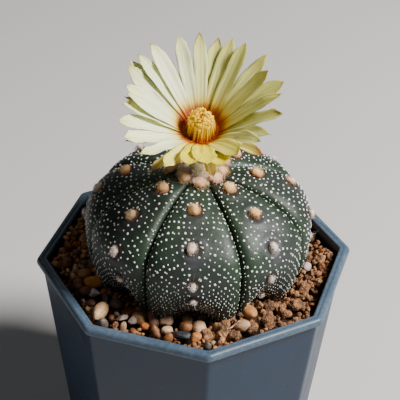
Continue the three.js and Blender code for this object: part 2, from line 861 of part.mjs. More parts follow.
function buildSoil() {
  const floor = POT.floorThickness + GAP;
  const fill = cavityBlock(GAP, floor, POT.height - SOIL.topClearance);
  const lid = new THREE.BoxGeometry(2 * POT.rimHalf, 2 * POT.rimHalf, POT.height);
  const corners = lid.getAttribute("position");
  for (let i = 0; i < corners.count; i += 1) {
    const level = soilHeight(corners.getX(i), corners.getY(i));
    corners.setZ(i, corners.getZ(i) < 0 ? level : level + POT.height);
  }
  const bed = fill.subtract(toSolid(lid));
  const random = seededRandom(SOIL.seed);
  const grains = grainPlaces(random)
    .filter(grainIsShown)
    .map(({ x, y, radius }) => grain(x, y, heapHeight(x, y) + SOIL.grainLift * radius, radius, random));
  const stones = FEATURE_STONES.map(featureStone);
  const covered = fuse([bed, ...grains, ...stones]);
  const body = grownBody([-1, -0.6, -0.25, 0.25, 0.6]);
  const plantSpace = fuse([body, ...areolePads(GAP)]).transform(plantPlace.toArray());
  return covered.intersect(fill).subtract(plantSpace);
}

// ---------------------------------------------------------------- assembly
const MATERIALS = {
  potPlastic: new THREE.MeshStandardMaterial({ color: 0x4d5c6b, roughness: 0.45, metalness: 0 }),
  grit: new THREE.MeshStandardMaterial({ color: 0xb98a5e, roughness: 0.95, metalness: 0 }),
  skin: new THREE.MeshStandardMaterial({ color: 0x42524a, roughness: 0.6, metalness: 0 }),
  wool: new THREE.MeshStandardMaterial({ color: 0xe0b48c, roughness: 1, metalness: 0 }),
  tube: new THREE.MeshStandardMaterial({ color: 0x9aa06a, roughness: 0.8, metalness: 0 }),
  petal: new THREE.MeshStandardMaterial({ color: 0xe6e0a0, roughness: 0.6, metalness: 0 }),
  stamen: new THREE.MeshStandardMaterial({ color: 0xf2cf63, roughness: 0.8, metalness: 0 }),
  pistil: new THREE.MeshStandardMaterial({ color: 0xf0dc8a, roughness: 0.6, metalness: 0 }),
};

function addPiece(group, name, solid, material) {
  const mesh = new THREE.Mesh(toGeometry(solid), material);
  mesh.name = name;
  group.add(mesh);
}

const part = new THREE.Group();
addPiece(part, "pot", buildPot(), MATERIALS.potPlastic);
addPiece(part, "soil", buildSoil(), MATERIALS.grit);

const plant = new THREE.Group();
plant.applyMatrix4(plantPlace);
part.add(plant);
addPiece(plant, "cactus_body", buildBody(), MATERIALS.skin);
addPiece(plant, "crown_wool", buildWool(), MATERIALS.wool);

const flower = new THREE.Group();
flower.applyMatrix4(flowerMatrix);
plant.add(flower);
addPiece(flower, "flower_tube", buildTube(), MATERIALS.tube);
addPiece(flower, "flower_petals", buildPetals(), MATERIALS.petal);
addPiece(flower, "flower_stamens", buildStamens(), MATERIALS.stamen);
addPiece(flower, "flower_pistil", buildPistil(), MATERIALS.pistil);

export default part;
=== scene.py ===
import itertools
import math

import bmesh
import bpy
import numpy as np
from mathutils import Matrix, Vector
from mathutils.geometry import tessellate_polygon


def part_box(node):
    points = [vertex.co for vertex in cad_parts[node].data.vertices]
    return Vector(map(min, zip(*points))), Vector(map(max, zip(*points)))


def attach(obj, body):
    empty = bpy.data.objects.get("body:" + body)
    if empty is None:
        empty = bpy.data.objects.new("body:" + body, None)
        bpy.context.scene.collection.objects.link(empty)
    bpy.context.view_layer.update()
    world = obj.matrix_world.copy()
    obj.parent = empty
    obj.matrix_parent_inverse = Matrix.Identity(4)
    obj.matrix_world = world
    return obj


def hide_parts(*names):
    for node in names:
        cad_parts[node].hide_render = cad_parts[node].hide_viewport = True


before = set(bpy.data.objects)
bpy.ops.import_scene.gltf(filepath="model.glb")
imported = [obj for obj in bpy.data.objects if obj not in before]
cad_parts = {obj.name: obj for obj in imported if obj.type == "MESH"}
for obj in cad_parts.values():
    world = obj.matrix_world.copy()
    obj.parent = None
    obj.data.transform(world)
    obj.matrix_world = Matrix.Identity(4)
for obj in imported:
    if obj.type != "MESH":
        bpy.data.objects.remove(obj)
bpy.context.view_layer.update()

MM = 0.001

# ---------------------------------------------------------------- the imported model's sizes
POT_HEIGHT = round(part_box("pot")[1][2] / MM, 3)
RIM_HALF = round(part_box("pot")[1][0] / MM, 3)
LIP_DEPTH = 3.2
LIP_STEP = 1.9
WALL_DRAFT = 0.109
WALL_THICKNESS = 2.0
FLOOR_THICKNESS = 3.0
OUTER_CORNER = 2.6
INNER_CORNER = 1.4
FOOT_RECESS = 1.8
FOOT_BAND = 7.0
DRAINS = [(0, 0, 6.0), (24, 0, 3.5), (0, 24, 3.5), (-24, 0, 3.5), (0, -24, 3.5)]  # x, y, radius

PLANT_AXIS = np.array((1.6, -1.9, 0.0))
GIRTH = 41.4
WIDEST_HEIGHT = 114.0
TOP_RISE = 20.9
BASE_DROP = 30.5
BODY_FOOT = WIDEST_HEIGHT - BASE_DROP
FLANK_FULLNESS = 3.1
FLANK_SWELL = 2.8
LOWEST_LEVEL = -0.84
CROWN_DIP = 2.5
CROWN_DIP_REACH = 6.0
GROOVE_DEPTH = 3.6
GROOVE_FADE = 16.0
FRONT_RIB = -74.8
GROOVES = (25.5, 71, 114, 158, 203, 246, 289, 334)  # counted from the front rib
ROOT = ((5.4, 4.0), (2.4, 22.0))  # radius of the taproot, depth below the body's foot

# Exponents of each rib's outline above the widest level and, on its seam of old areoles, below it;
# and the seam's share of the way from the rib's middle to its groove.
RIB_FORMS = np.array((
    (2.1, 1.95, 0), (2.1, 1.75, -0.35), (2.3, 2, 0), (2.1, 2, 0),
    (2.1, 2, 0), (2.1, 2, 0), (2.1, 2, 0), (2.1, 1.75, 0.3),
))

# Areoles of each rib from the front one on: distance from the crown, degrees off the rib's middle.
AREOLES = (
    ((21.8, -2), (37, -1), (50.3, 0), (57.8, 0.5)),
    ((14.8, 0), (28.6, -1.8), (42, -3.8), (53.2, -7.5), (66, -6)),
    ((20.9, 2), (34.5, 6), (46.4, -5), (57, -4)),
    ((18, 0), (31, 2), (43, 0), (56, 0)),
    ((20, 0), (33, -2), (46, 0), (57, 2)),
    ((25, 2), (37.5, -3), (50, 0), (60, 0)),
    ((28, -6), (39, 1), (51, 2), (60, 0)),
    ((16.9, -1), (31.9, 1.3), (45.7, 4.6), (56.3, 8.4)),
)
# Youngest areoles round the flower's foot: degrees from the front rib, distance from the axis.
CROWN_PADS = (
    (4, 9.8), (48, 8.6), (82, 8.6), (121, 10.2), (163, 9), (205, 9.8), (240, 8.8), (274, 10.6), (322, 8.2),
)

FLOWER_LEAN = 21.3
FLOWER_AZIMUTH = -73.0
FLOWER_REACH = 29.0
TUBE_FOOT = -26.6
TUBE_TOP = -6.0
CUP_FOOT = -5.6
PETAL_ROOT = (6.6, -0.7)
PETAL_LID = 0.7
PETAL_CUP = 14.0
PETAL_PULL = 0.42
# Petals: azimuth, lift of the tip, length from the flower's middle, widest width.
PETALS = (
    (126, 32, 32.5, 5.6), (107, 30, 33, 5.2), (98, 25, 32.5, 5.6), (88, 27, 33, 5.8),
    (74, 31, 33, 5.8), (56, 30, 33.5, 5.8), (42, 37, 31.5, 5.2), (34, 28, 33, 5.6),
    (23, 33, 31.5, 5.4), (12, 38, 32, 5.4), (2, 34, 33, 5.4), (-12, 34, 32, 5.4),
    (-27, 34, 31, 5.8), (-43, 33, 30, 7.2), (-57, 29, 29.5, 8.0), (-69, 31, 29, 8.4),
    (-81, 30, 30.5, 8.0), (-97, 26, 32, 5.4), (-116, 24, 32.5, 5.2), (-130, 25, 33, 5.4),
    (-145, 29, 33, 5.4), (-152, 34, 32, 5.2), (-160, 37, 32, 5.2), (-173, 34, 31.5, 5.4),
    (174, 30, 33, 5.6), (162, 27, 33.5, 5.6), (156, 32, 33, 5.6), (146, 33, 33.5, 5.8),
)
OUTER_PETALS = (
    (136, 20, 29, 3.8), (92, 15, 28, 3.8), (64, 16, 28, 3.8), (18, 17, 28, 3.8), (-20, 18, 28, 3.8),
    (-62, 19, 30, 4), (-106, 12, 28, 3.8), (-138, 14, 28.5, 3.8), (-178, 15, 28, 3.8),
)

SOIL_DEPTH = 8.2
SOIL_SLOPE = (-0.03, -0.02)

# Start of each piece's own random draws.
SEEDS = {
    "flecks": 11, "areoles": 23, "crown": 31, "petals": 47,
    "stamens": 59, "pistil": 61, "tube": 67, "grains": 83,
}
FULL_TURN = 6.3  # about a turn in radians, for turns that are drawn
HAIR_RADII = {"flecks": 0.15, "areoles": 0.055, "bristles": 0.075, "filaments": 0.16, "tube": 0.06}
# Every colour as sRGB, either one or the two ends of a blend.
COLOURS = {
    "wall": ((23, 40, 61), (29, 47, 69)),
    # The lip's colour is painted lighter than the wall's: a painted highlight on its upturned top.
    "lip": ((62, 79, 96), (72, 89, 106)),
    "wall dust": (112, 118, 126),
    "lip scuffs": (122, 138, 154),
    "skin": ((22, 37, 22), (37, 54, 39)),
    "skin bloom": (112, 122, 112),
    "rib back": (46, 52, 52),
    "below areoles": (70, 64, 74),
    "round areoles": (56, 54, 58),
    "rib flanks": (30, 50, 30),
    "skin at foot": (58, 44, 34),
    "scurf": (92, 78, 62),
    "root": (96, 74, 54),
    "flecks": ((250, 250, 244), (176, 158, 134)),
    # Wool colours of flanks and tops: the paler tops are partly the wool's own colour and partly a painted
    # highlight, and the flanks partly painted shade.
    "areole flanks": ((172, 98, 42), (160, 132, 112)),
    "areole tops": ((250, 202, 138), (242, 230, 218)),
    "crown flanks": ((176, 100, 38), (208, 176, 144)),
    "crown tops": ((250, 196, 118), (250, 236, 218)),
    # Petal tints: pale for the petals that face the lamps, and a saturated yellow painted on the front ones
    # for light shining through them.
    "petals": ((250, 255, 236), (250, 230, 48)),
    "petals in shade": (216, 212, 128),
    "outer petals": ((226, 212, 116), (164, 150, 66)),
    "outer petal tips": (134, 84, 40),
    "bristles": ((214, 190, 130), (232, 224, 214)),
    "throat": ((248, 184, 60), (212, 116, 34)),
    "throat rim": (156, 76, 18),
    "cup outside": (176, 168, 92),
    "cup ends": ((150, 150, 80), (110, 40, 8)),
    "filaments": ((240, 156, 10), (255, 218, 36)),
    "anthers": ((255, 184, 0), (255, 236, 48)),
    "pistil": ((206, 130, 10), (252, 214, 50)),
    "tube": (216, 210, 142),
    "scales": ((238, 232, 170), (248, 242, 172)),
    "scale tips": (140, 88, 46),
    "tube wool": ((238, 216, 202), (252, 244, 238)),
    "bed": ((56, 36, 22), (116, 80, 54)),
    "bed ends": (40, 26, 16),
    "clay": ((206, 152, 104), (162, 112, 74)),
    "red clay": (182, 118, 72),
    "strand": ((206, 168, 156), (176, 130, 110)),
    "floor": ((196, 195, 193), (202, 201, 199)),
}


# ---------------------------------------------------------------- helpers
def srgb(colours):
    """Linear colours of sRGB colours given as 0 to 255."""
    part = np.array(colours) / 255.0
    return np.where(part <= 0.04045, part / 12.92, ((part + 0.055) / 1.055) ** 2.4)


def tone(name):
    """The linear colour of a name in COLOURS, or its pair of them."""
    return srgb(COLOURS[name])


def unit(vectors):
    return vectors / np.maximum(np.linalg.norm(vectors, axis=-1, keepdims=True), 1e-9)


def smoothstep(low, high, value):
    share = np.clip((value - low) / (high - low), 0, 1)
    return share * share * (3 - 2 * share)


def blend(first, second, share):
    """Between two colours, or one colour per point, by a share for each point."""
    share = np.asarray(share)[..., None]
    return first * (1 - share) + second * share


HASH_FACTORS = (374761393, 668265263, 1442695041, 1013904223, 1274126177)  # for x, y, z, the seed and the mix


def lattice(cells, seed):
    """A fixed number from -1 to 1 for each whole x, y, z and a seed."""
    for_x, for_y, for_z, for_seed, for_mix = HASH_FACTORS
    with np.errstate(over="ignore"):
        mixed = cells[..., 0] * for_x + cells[..., 1] * for_y + cells[..., 2] * for_z + seed * for_seed
        mixed = (mixed ^ (mixed >> 13)) * for_mix
    return ((mixed ^ (mixed >> 16)) & 0xFFFF) / 32767.5 - 1.0


def smooth_noise(points, size, seed=0, octaves=1):
    """Smooth noise of about -1 to 1 at each point, with features of the given size."""
    total = 0.0
    for octave in range(octaves):
        at = np.asarray(points, dtype=float) / size * 2**octave + 17.3 * octave
        cell = np.floor(at).astype(np.int64)
        part = at - cell
        part = part * part * (3 - 2 * part)
        for corner in itertools.product((0, 1), repeat=3):
            weight = np.prod(np.where(np.array(corner) == 1, part, 1 - part), axis=-1)
            total = total + 0.5**octave * weight * lattice(cell + np.array(corner), seed)
    return total


def drawn_seed(random):
    return int(random.integers(1000))


def frames(directions, turns=None):
    """Rotation matrices whose third column is the direction, turned about it."""
    along = unit(np.asarray(directions, dtype=float))
    steep = np.abs(along[:, 2:3]) > 0.9
    helper = np.where(steep, [[1.0, 0.0, 0.0]], [[0.0, 0.0, 1.0]])
    first = unit(np.cross(helper, along))
    second = np.cross(along, first)
    if turns is not None:
        cosine, sine = np.cos(turns)[:, None], np.sin(turns)[:, None]
        first, second = cosine * first + sine * second, cosine * second - sine * first
    return np.stack([first, second, along], axis=2)


def any_turns(random, count):
    return frames(random.normal(size=(count, 3)), random.uniform(0, FULL_TURN, count))


def turn_steps(count):
    """Angles in radians, evenly round a full turn."""
    return 2 * np.pi * np.arange(count) / count


def polar(radius, azimuth, height):
    """Points from distances, azimuths in radians and heights."""
    radius, azimuth, height = np.broadcast_arrays(radius, azimuth, height)
    return np.stack([radius * np.cos(azimuth), radius * np.sin(azimuth), height], axis=-1)


def moved(points, matrix):
    return points @ matrix[:3, :3].T + matrix[:3, 3]


def grid_faces(rows, columns, wrap=True, start=0):
    """Quads over rows of points, each row a loop unless wrap is False."""
    column = np.arange(columns if wrap else columns - 1)
    following = (column + 1) % columns
    row = np.arange(rows - 1)[:, None] * columns + start
    below = row + columns
    quads = np.stack([row + column, row + following, below + following, below + column], axis=-1)
    return quads.reshape(-1, 4)


def fan(loop, centre, flip=False):
    """Triangles from a loop of point numbers to a centre point."""
    loop = np.asarray(loop)
    following = np.roll(loop, -1)
    middle = np.full(len(loop), centre)
    return np.stack([following, loop, middle] if flip else [loop, following, middle], axis=-1)


def capped(loops, ends, flip=False):
    """Points and faces of a closed skin from loops of points, one after another, and a point at each end."""
    rows, columns = loops.shape[:2]
    points = np.concatenate([loops.reshape(-1, 3), ends])
    ring = np.arange(columns)
    sides = grid_faces(rows, columns)
    first = fan(ring, rows * columns, flip=not flip)
    last = fan((rows - 1) * columns + ring, rows * columns + 1, flip=flip)
    return points, [sides[:, ::-1] if flip else sides, first, last]


def resampled(line, count):
    """Points spread evenly over the steps of a line of points, and how many steps along each lies."""
    line = np.array(line)
    steps = np.linspace(0, len(line) - 1, count)
    return np.column_stack([np.interp(steps, np.arange(len(line)), column) for column in line.T]), steps


def icosphere(subdivisions):
    shape = bmesh.new()
    bmesh.ops.create_icosphere(shape, subdivisions=subdivisions, radius=1)
    points = np.array([vertex.co[:] for vertex in shape.verts])
    faces = np.array([[vertex.index for vertex in face.verts] for face in shape.faces])
    shape.free()
    return points, faces


def scatter(templates, picks, places, turns, scales):
    """Copies of templates (points, faces): which one, where, turned and scaled how.

    Gives the points, the faces and the number of the copy that each point belongs to.
    """
    points, faces, owners = [], [], []
    offset = 0
    for kind, (shape, triangles) in enumerate(templates):
        chosen = np.flatnonzero(picks == kind)
        if not len(chosen):
            continue
        sized = shape[None] * scales[chosen][:, None]
        placed = np.einsum("nij,nvj->nvi", turns[chosen], sized) + places[chosen][:, None]
        starts = offset + len(shape) * np.arange(len(chosen))
        points.append(placed.reshape(-1, 3))
        faces.append((triangles[None] + starts[:, None, None]).reshape(-1, triangles.shape[1]))
        owners.append(np.repeat(chosen, len(shape)))
        offset += len(shape) * len(chosen)
    return np.concatenate(points), np.concatenate(faces), np.concatenate(owners)


def hairs(roots, directions, lengths, radii, bends, sides=3, steps=3, taper=0.85):
    """Fine closed hairs: points, [sides, ends], the hair of each point and its share of the length."""
    count = len(roots)
    radii = np.broadcast_to(radii, count)
    share = np.linspace(0, 1, steps + 1)
    straight = directions[:, None] * (lengths[:, None, None] * share[None, :, None])
    line = roots[:, None] + straight + bends[:, None] * (share**2)[None, :, None]
    turn = frames(directions)
    angle = turn_steps(sides)[None, :, None]
    ring = np.cos(angle) * turn[:, None, :, 0] + np.sin(angle) * turn[:, None, :, 1]
    thickness = radii[:, None] * (1 - taper * share[None])
    points = line[:, :, None] + ring[:, None] * thickness[..., None, None]
    one = grid_faces(steps + 1, sides)
    each = (steps + 1) * sides
    starts = (each * np.arange(count))[:, None, None]
    quads = (one[None] + starts).reshape(-1, 4)
    foot = np.arange(sides)[::-1]
    tip = steps * sides + np.arange(sides)
    caps = (np.stack([foot, tip])[None] + starts).reshape(-1, sides)
    owners = np.repeat(np.arange(count), each)
    shares = np.tile(np.repeat(share, sides), count)
    return points.reshape(-1, 3), [quads, caps], owners, shares


def joined(parts):
    """One set of points and faces from several (points, [faces, ...])."""
    points, faces, offset = [], [], 0
    for shape, groups in parts:
        points.append(shape)
        faces.extend(group + offset for group in groups if len(group))
        offset += len(shape)
    return np.concatenate(points), faces


def make_piece(name, points, faces, look, slot, nodes=(), **paint):
    """A piece of the object, in metres, riding on the root body, painted with a colour for each point."""
    mesh = bpy.data.meshes.new(name)
    loops = np.concatenate([group.ravel() for group in faces]).astype(np.int32)
    sizes = np.concatenate([np.full(len(group), group.shape[1]) for group in faces]).astype(np.int32)
    mesh.vertices.add(len(points))
    mesh.vertices.foreach_set("co", (points * MM).astype(np.float32).ravel())
    mesh.loops.add(len(loops))
    mesh.loops.foreach_set("vertex_index", loops)
    mesh.polygons.add(len(sizes))
    starts = np.concatenate([[0], np.cumsum(sizes)[:-1]]).astype(np.int32)
    mesh.polygons.foreach_set("loop_start", starts)
    mesh.polygons.foreach_set("use_smooth", np.ones(len(sizes), dtype=bool))
    mesh.update(calc_edges=True)
    for label, colours in paint.items():
        opaque = np.ones((len(points), 4), dtype=np.float32)
        opaque[:, :3] = np.clip(colours, 0, 1)
        attribute = mesh.color_attributes.new(label, "FLOAT_COLOR", "POINT")
        attribute.data.foreach_set("color", opaque.ravel())
    mesh.materials.append(look)
    piece = bpy.data.objects.new(name, mesh)
    bpy.context.scene.collection.objects.link(piece)
    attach(piece, "root")
    if nodes:
        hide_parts(*nodes)
    return piece


# ---------------------------------------------------------------- materials
class Look:
    """A Principled material, and short ways to add the nodes that drive it."""

    def __init__(self, name, **sockets):
        self.material = bpy.data.materials.new(name)
        self.material.use_nodes = True
        self.tree = self.material.node_tree
        self.shader = self.tree.nodes["Principled BSDF"]
        for label, value in sockets.items():
            self.shader.inputs[label.replace("_", " ")].default_value = value
        self.place = self.add("ShaderNodeTexCoord").outputs["Object"]

    def add(self, kind, **settings):
        node = self.tree.nodes.new(kind)
        for label, value in settings.items():
            setattr(node, label, value)
        return node

    def feed(self, socket, value):
        if isinstance(value, bpy.types.NodeSocket):
            self.tree.links.new(value, socket)
        elif value is not None:
            socket.default_value = value

    def drive(self, label, value):
        self.feed(self.shader.inputs[label], value)

    def paint(self, label):
        return self.add("ShaderNodeVertexColor", layer_name=label).outputs["Color"]

    def split(self, colour):
        return self.wired("ShaderNodeSeparateColor", colour).outputs

    def wired(self, kind, *values, **settings):
        node = self.add(kind, **settings)
        for socket, value in zip(node.inputs, values):
            self.feed(socket, value)
        return node

    def stretched(self, factors, vector=None):
        """The place, scaled by a factor along each axis."""
        node = self.add("ShaderNodeMapping")
        self.feed(node.inputs["Vector"], vector or self.place)
        node.inputs["Scale"].default_value = factors
        return node.outputs["Vector"]

    def noise(self, size, detail=3.0, roughness=0.55, vector=None):
        """Noise with features of a size in millimetres."""
        node = self.add("ShaderNodeTexNoise")
        self.feed(node.inputs["Vector"], vector or self.place)
        node.inputs["Scale"].default_value = 1 / (size * MM) if vector is None else size
        node.inputs["Detail"].default_value = detail
        node.inputs["Roughness"].default_value = roughness
        return node.outputs["Fac"]

    def cells(self, size):
        node = self.add("ShaderNodeTexVoronoi")
        self.feed(node.inputs["Vector"], self.place)
        node.inputs["Scale"].default_value = 1 / (size * MM)
        return node.outputs["Distance"]

    def ramp(self, value, stops):
        """A value or colour that follows stops of (place, value or colour)."""
        node = self.wired("ShaderNodeValToRGB", value)
        points = node.color_ramp.elements
        while len(points) < len(stops):
            points.new(0.5)
        for point, (place, colour) in zip(points, stops):
            point.position = place
            shade = np.broadcast_to(colour, 3)
            point.color = (*shade, 1.0)
        return node.outputs["Color"]

    def span(self, value, low, high, start=0.0, end=1.0):
        node = self.add("ShaderNodeMapRange")
        for label, number in (("From Min", low), ("From Max", high), ("To Min", start), ("To Max", end)):
            node.inputs[label].default_value = number
        self.feed(node.inputs["Value"], value)
        return node.outputs["Result"]

    def mix(self, share, first, second, kind="MIX"):
        node = self.add("ShaderNodeMix", data_type="RGBA", blend_type=kind)
        self.feed(node.inputs[0], share)
        for socket, colour in ((node.inputs[6], first), (node.inputs[7], second)):
            if not isinstance(colour, bpy.types.NodeSocket):
                colour = (*np.broadcast_to(colour, 3), 1.0)
            self.feed(socket, colour)
        return node.outputs[2]

    def math(self, operation, first, second=None):
        node = self.add("ShaderNodeMath", operation=operation)
        self.feed(node.inputs[0], first)
        self.feed(node.inputs[1], second)
        return node.outputs[0]

    def bump(self, height, depth, after=None):
        """A bump of a depth in millimetres, on top of another one."""
        node = self.add("ShaderNodeBump")
        node.inputs["Distance"].default_value = depth * MM
        self.feed(node.inputs["Height"], height)
        if after is not None:
            self.feed(node.inputs["Normal"], after)
        return node.outputs["Normal"]


WALL_DUST = 0.16
LIP_SCUFFS = 0.24


def pot_look():
    look = Look("pot_plastic", Specular_IOR_Level=0.36)
    mottle = look.noise(9.0, detail=4)
    fine = look.noise(0.9, detail=2)
    colour = look.mix(look.span(mottle, 0.35, 0.65), *tone("wall"))
    height = look.wired("ShaderNodeSeparateXYZ", look.place).outputs["Z"]
    # Painted light: the lip's band gets a lighter blue than the wall, a painted highlight for the top that
    # faces the lamps.
    lip_foot = POT_HEIGHT - LIP_DEPTH
    at_lip = look.span(height, (lip_foot - 0.5) * MM, (lip_foot + 0.5) * MM)
    lip_painted_lighter = look.mix(look.span(mottle, 0.35, 0.65), *tone("lip"))
    colour = look.mix(at_lip, colour, lip_painted_lighter)
    dust = look.span(look.noise(2.6, detail=8, roughness=0.75), 0.6, 0.72)
    colour = look.mix(look.math("MULTIPLY", dust, WALL_DUST), colour, tone("wall dust"))
    scuffs = look.span(look.noise(1.5, detail=6, roughness=0.7), 0.46, 0.66)
    scuffed = look.math("MULTIPLY", look.math("MULTIPLY", scuffs, at_lip), LIP_SCUFFS)
    colour = look.mix(scuffed, colour, tone("lip scuffs"))
    look.drive("Base Color", colour)
    look.drive("Roughness", look.span(mottle, 0.3, 0.7, 0.36, 0.48))
    drawn = look.noise(1.0, detail=2, vector=look.stretched((500, 500, 18)))
    look.drive("Normal", look.bump(drawn, 0.03, look.bump(fine, 0.025)))
    return look.material


def skin_look():
    look = Look("cactus_skin", Specular_IOR_Level=0.42)
    base = look.paint("tint")
    patches = look.noise(5.0, detail=5, roughness=0.65)
    darker = look.mix(1.0, base, (0.62, 0.62, 0.66), "MULTIPLY")
    colour = look.mix(look.span(patches, 0.42, 0.64, 0, 0.4), base, darker)
    pale = look.span(look.noise(0.5, detail=3), 0.58, 0.74, 0, 0.16)
    colour = look.mix(pale, colour, tone("skin bloom"))
    look.drive("Base Color", colour)
    look.drive("Roughness", look.span(patches, 0.3, 0.7, 0.48, 0.56))
    pores = look.bump(look.cells(0.42), 0.03)
    look.drive("Normal", look.bump(look.noise(2.2, detail=4), 0.14, pores))
    return look.material


def tinted_look(name, roughness=0.9, grain=0.3, depth=0.05, shade=0.35, crumbs=None, **sockets):
    """A material whose colour is painted on the points, with mottling, a fine bump and perhaps crumbs whose
    crevices are painted darker as shade.
    """
    look = Look(name, Roughness=roughness, **sockets)
    base = look.paint("tint")
    mottle = look.noise(grain, detail=4, roughness=0.65)
    darker = look.mix(1.0, base, (0.5, 0.47, 0.45), "MULTIPLY")
    colour = look.mix(look.span(mottle, 0.42, 0.62, shade, 0), base, darker)
    relief = None
    if crumbs:
        hollow = look.cells(crumbs)
        relief = look.bump(look.math("SUBTRACT", 1.0, hollow), 0.5)
        # Painted shade: darker in the crevices between the crumbs.
        crevice_shade = look.mix(1.0, colour, (0.55, 0.5, 0.46), "MULTIPLY")
        colour = look.mix(look.span(hollow, 0.35, 0.75), colour, crevice_shade)
    look.drive("Base Color", colour)
    look.drive("Normal", look.bump(mottle, depth, relief))
    return look.material


def pebble_look():
    look = Look("pebbles", Specular_IOR_Level=0.5)
    base = look.paint("tint")
    bands = look.noise(1.0, detail=6, roughness=0.6, vector=look.stretched((260, 520, 900)))
    mottle = look.noise(1.1, detail=6, roughness=0.7)
    darker = look.mix(1.0, base, (0.52, 0.44, 0.38), "MULTIPLY")
    colour = look.mix(look.span(bands, 0.4, 0.6, 0, 0.6), base, darker)
    paler = look.mix(1.0, colour, (1.3, 1.2, 1.05), "MULTIPLY")
    colour = look.mix(look.span(mottle, 0.52, 0.7, 0, 0.5), colour, paler)
    look.drive("Base Color", colour)
    look.drive("Roughness", look.span(mottle, 0.35, 0.65, 0.38, 0.62))
    look.drive("Normal", look.bump(mottle, 0.25))
    return look.material


# Colours along a petal, from the throat to the tip: share of the length, colour.
PETAL_STOPS = (
    (0.0, (146, 56, 8)), (0.06, (162, 76, 18)), (0.1, (186, 112, 40)), (0.135, (218, 166, 78)),
    (0.17, (242, 214, 128)), (0.225, (250, 238, 176)), (0.3, (252, 250, 226)), (0.66, (255, 255, 234)),
    (0.95, (250, 246, 190)), (1.0, (230, 216, 136)),
)


def petal_look():
    """The red channel holds the share across a petal, green the share along it, blue a number of its own."""
    look = Look("petal", Specular_IOR_Level=0.25, Subsurface_Weight=0.12, Subsurface_Scale=0.001)
    look.shader.inputs["Subsurface Radius"].default_value = (1.0, 0.85, 0.35)
    across, along, own = look.split(look.paint("place"))[:3]
    packed = look.wired("ShaderNodeCombineXYZ", across, along, own).outputs[0]
    veins = look.noise(1.0, detail=3, vector=look.stretched((20, 1.4, 40), packed))
    fine = look.noise(1.0, detail=2, vector=look.stretched((62, 2.4, 90), packed))
    aside = look.math("MULTIPLY", look.math("SUBTRACT", across, 0.5), 2.0)
    edge = look.math("POWER", look.math("ABSOLUTE", aside), 2.0)
    streaked = look.math("ADD", along, look.span(veins, 0.25, 0.75, -0.07, 0.06))
    streaked = look.math("SUBTRACT", streaked, look.math("MULTIPLY", edge, 0.035))
    stops = [(place, srgb(colour)) for place, colour in PETAL_STOPS]
    colour = look.mix(1.0, look.ramp(streaked, stops), look.paint("tint"), "MULTIPLY")
    darker = look.mix(1.0, colour, (0.68, 0.7, 0.56), "MULTIPLY")
    colour = look.mix(look.span(veins, 0.45, 0.66, 0, 0.7), colour, darker)
    darker = look.mix(1.0, colour, (0.72, 0.74, 0.62), "MULTIPLY")
    colour = look.mix(look.span(fine, 0.48, 0.68, 0, 0.7), colour, darker)
    look.drive("Base Color", colour)
    look.drive("Roughness", look.span(fine, 0.3, 0.7, 0.42, 0.6))
    look.drive("Normal", look.bump(fine, 0.09, look.bump(veins, 0.18)))
    return look.material


def floor_look():
    look = Look("studio_floor", Roughness=0.85, Specular_IOR_Level=0.2)
    cloud = look.noise(420.0, detail=2)
    colour = look.mix(look.span(cloud, 0.3, 0.7), *tone("floor"))
    look.drive("Base Color", colour)
    return look.material


# ---------------------------------------------------------------- pot
def octagon(half, corner, arc_steps=6):
    """A loop of x, y round an octagon with rounded corners, with more points near the corners."""
    reach = (half - corner) / math.cos(math.pi / 8)
    arcs = []
    for side in range(8):
        middle = math.radians(22.5 + 45 * side)
        normal = middle + np.radians(np.linspace(-22.5, 22.5, arc_steps + 1))
        x = reach * math.cos(middle) + corner * np.cos(normal)
        y = reach * math.sin(middle) + corner * np.sin(normal)
        arcs.append(np.stack([x, y], axis=-1))
    loop = []
    shares = np.array((0.03, 0.12, 0.3, 0.5, 0.7, 0.88, 0.97))[:, None]
    for side, arc in enumerate(arcs):
        ahead = arcs[(side + 1) % 8][0]
        loop.extend([arc, arc[-1] * (1 - shares) + ahead * shares])
    return np.concatenate(loop)


def wall_half(height):
    return RIM_HALF - LIP_STEP - WALL_DRAFT * (POT_HEIGHT - LIP_DEPTH - height)


def circle(x, y, radius, steps=40):
    angle = turn_steps(steps)
    return np.stack([x + radius * np.cos(angle), y + radius * np.sin(angle)], axis=-1)


def pierced_plate(outline, outline_numbers, holes, hole_numbers, upward):
    """Triangles over an outline with holes in it, on points that already have numbers."""
    loops = [[Vector((x, y, 0)) for x, y in loop] for loop in [outline, *holes]]
    numbers = np.concatenate([outline_numbers, *hole_numbers])
    flat = np.concatenate([outline, *holes])
    triangles = np.array(tessellate_polygon(loops))
    first, second, third = (flat[triangles[:, i]] for i in range(3))
    side, rise = second - first, third - first
    turned = side[:, 0] * rise[:, 1] - side[:, 1] * rise[:, 0]
    wrong = (turned > 0) != upward
    triangles[wrong] = triangles[wrong][:, ::-1]
    return numbers[triangles]


# The pot's section: steps outwards and height on the recess under the foot and on the foot's edge.
RECESS_EDGE = ((-1, FOOT_RECESS), (-0.4, FOOT_RECESS - 0.5), (-0.2, 0.25), (0.2, 0))
FOOT_EDGE = ((-1.6, 0), (-0.9, 0.0), (-0.3, 0.3), (0, 1), (0, 1.6))
# The lip: steps outwards from the rim and upwards from the pot's top.
LIP = (
    (-1.9, -3.75), (-1.86, -3.4), (-1.7, -3.22), (-1.2, -3.2), (-0.75, -3.16), (-0.38, -2.95), (-0.13, -2.6),
    (-0.02, -2.15), (0, -1.75), (-0.05, -1.3), (-0.22, -0.85), (-0.5, -0.45), (-0.85, -0.18), (-1.25, -0.04),
    (-1.6, 0), (-1.95, -0.07), (-2.2, -0.2), (-2.4, -0.27), (-2.65, -0.26), (-3.1, -0.25), (-3.45, -0.32),
    (-3.7, -0.5), (-3.84, -0.8), (-3.9, -1.25),
)
# Radius of the octagon's corners: number of the section's row, radius.
CORNER_ROWS = (
    (0, INNER_CORNER), (4, OUTER_CORNER), (21, OUTER_CORNER), (36, OUTER_CORNER), (47, INNER_CORNER),
)


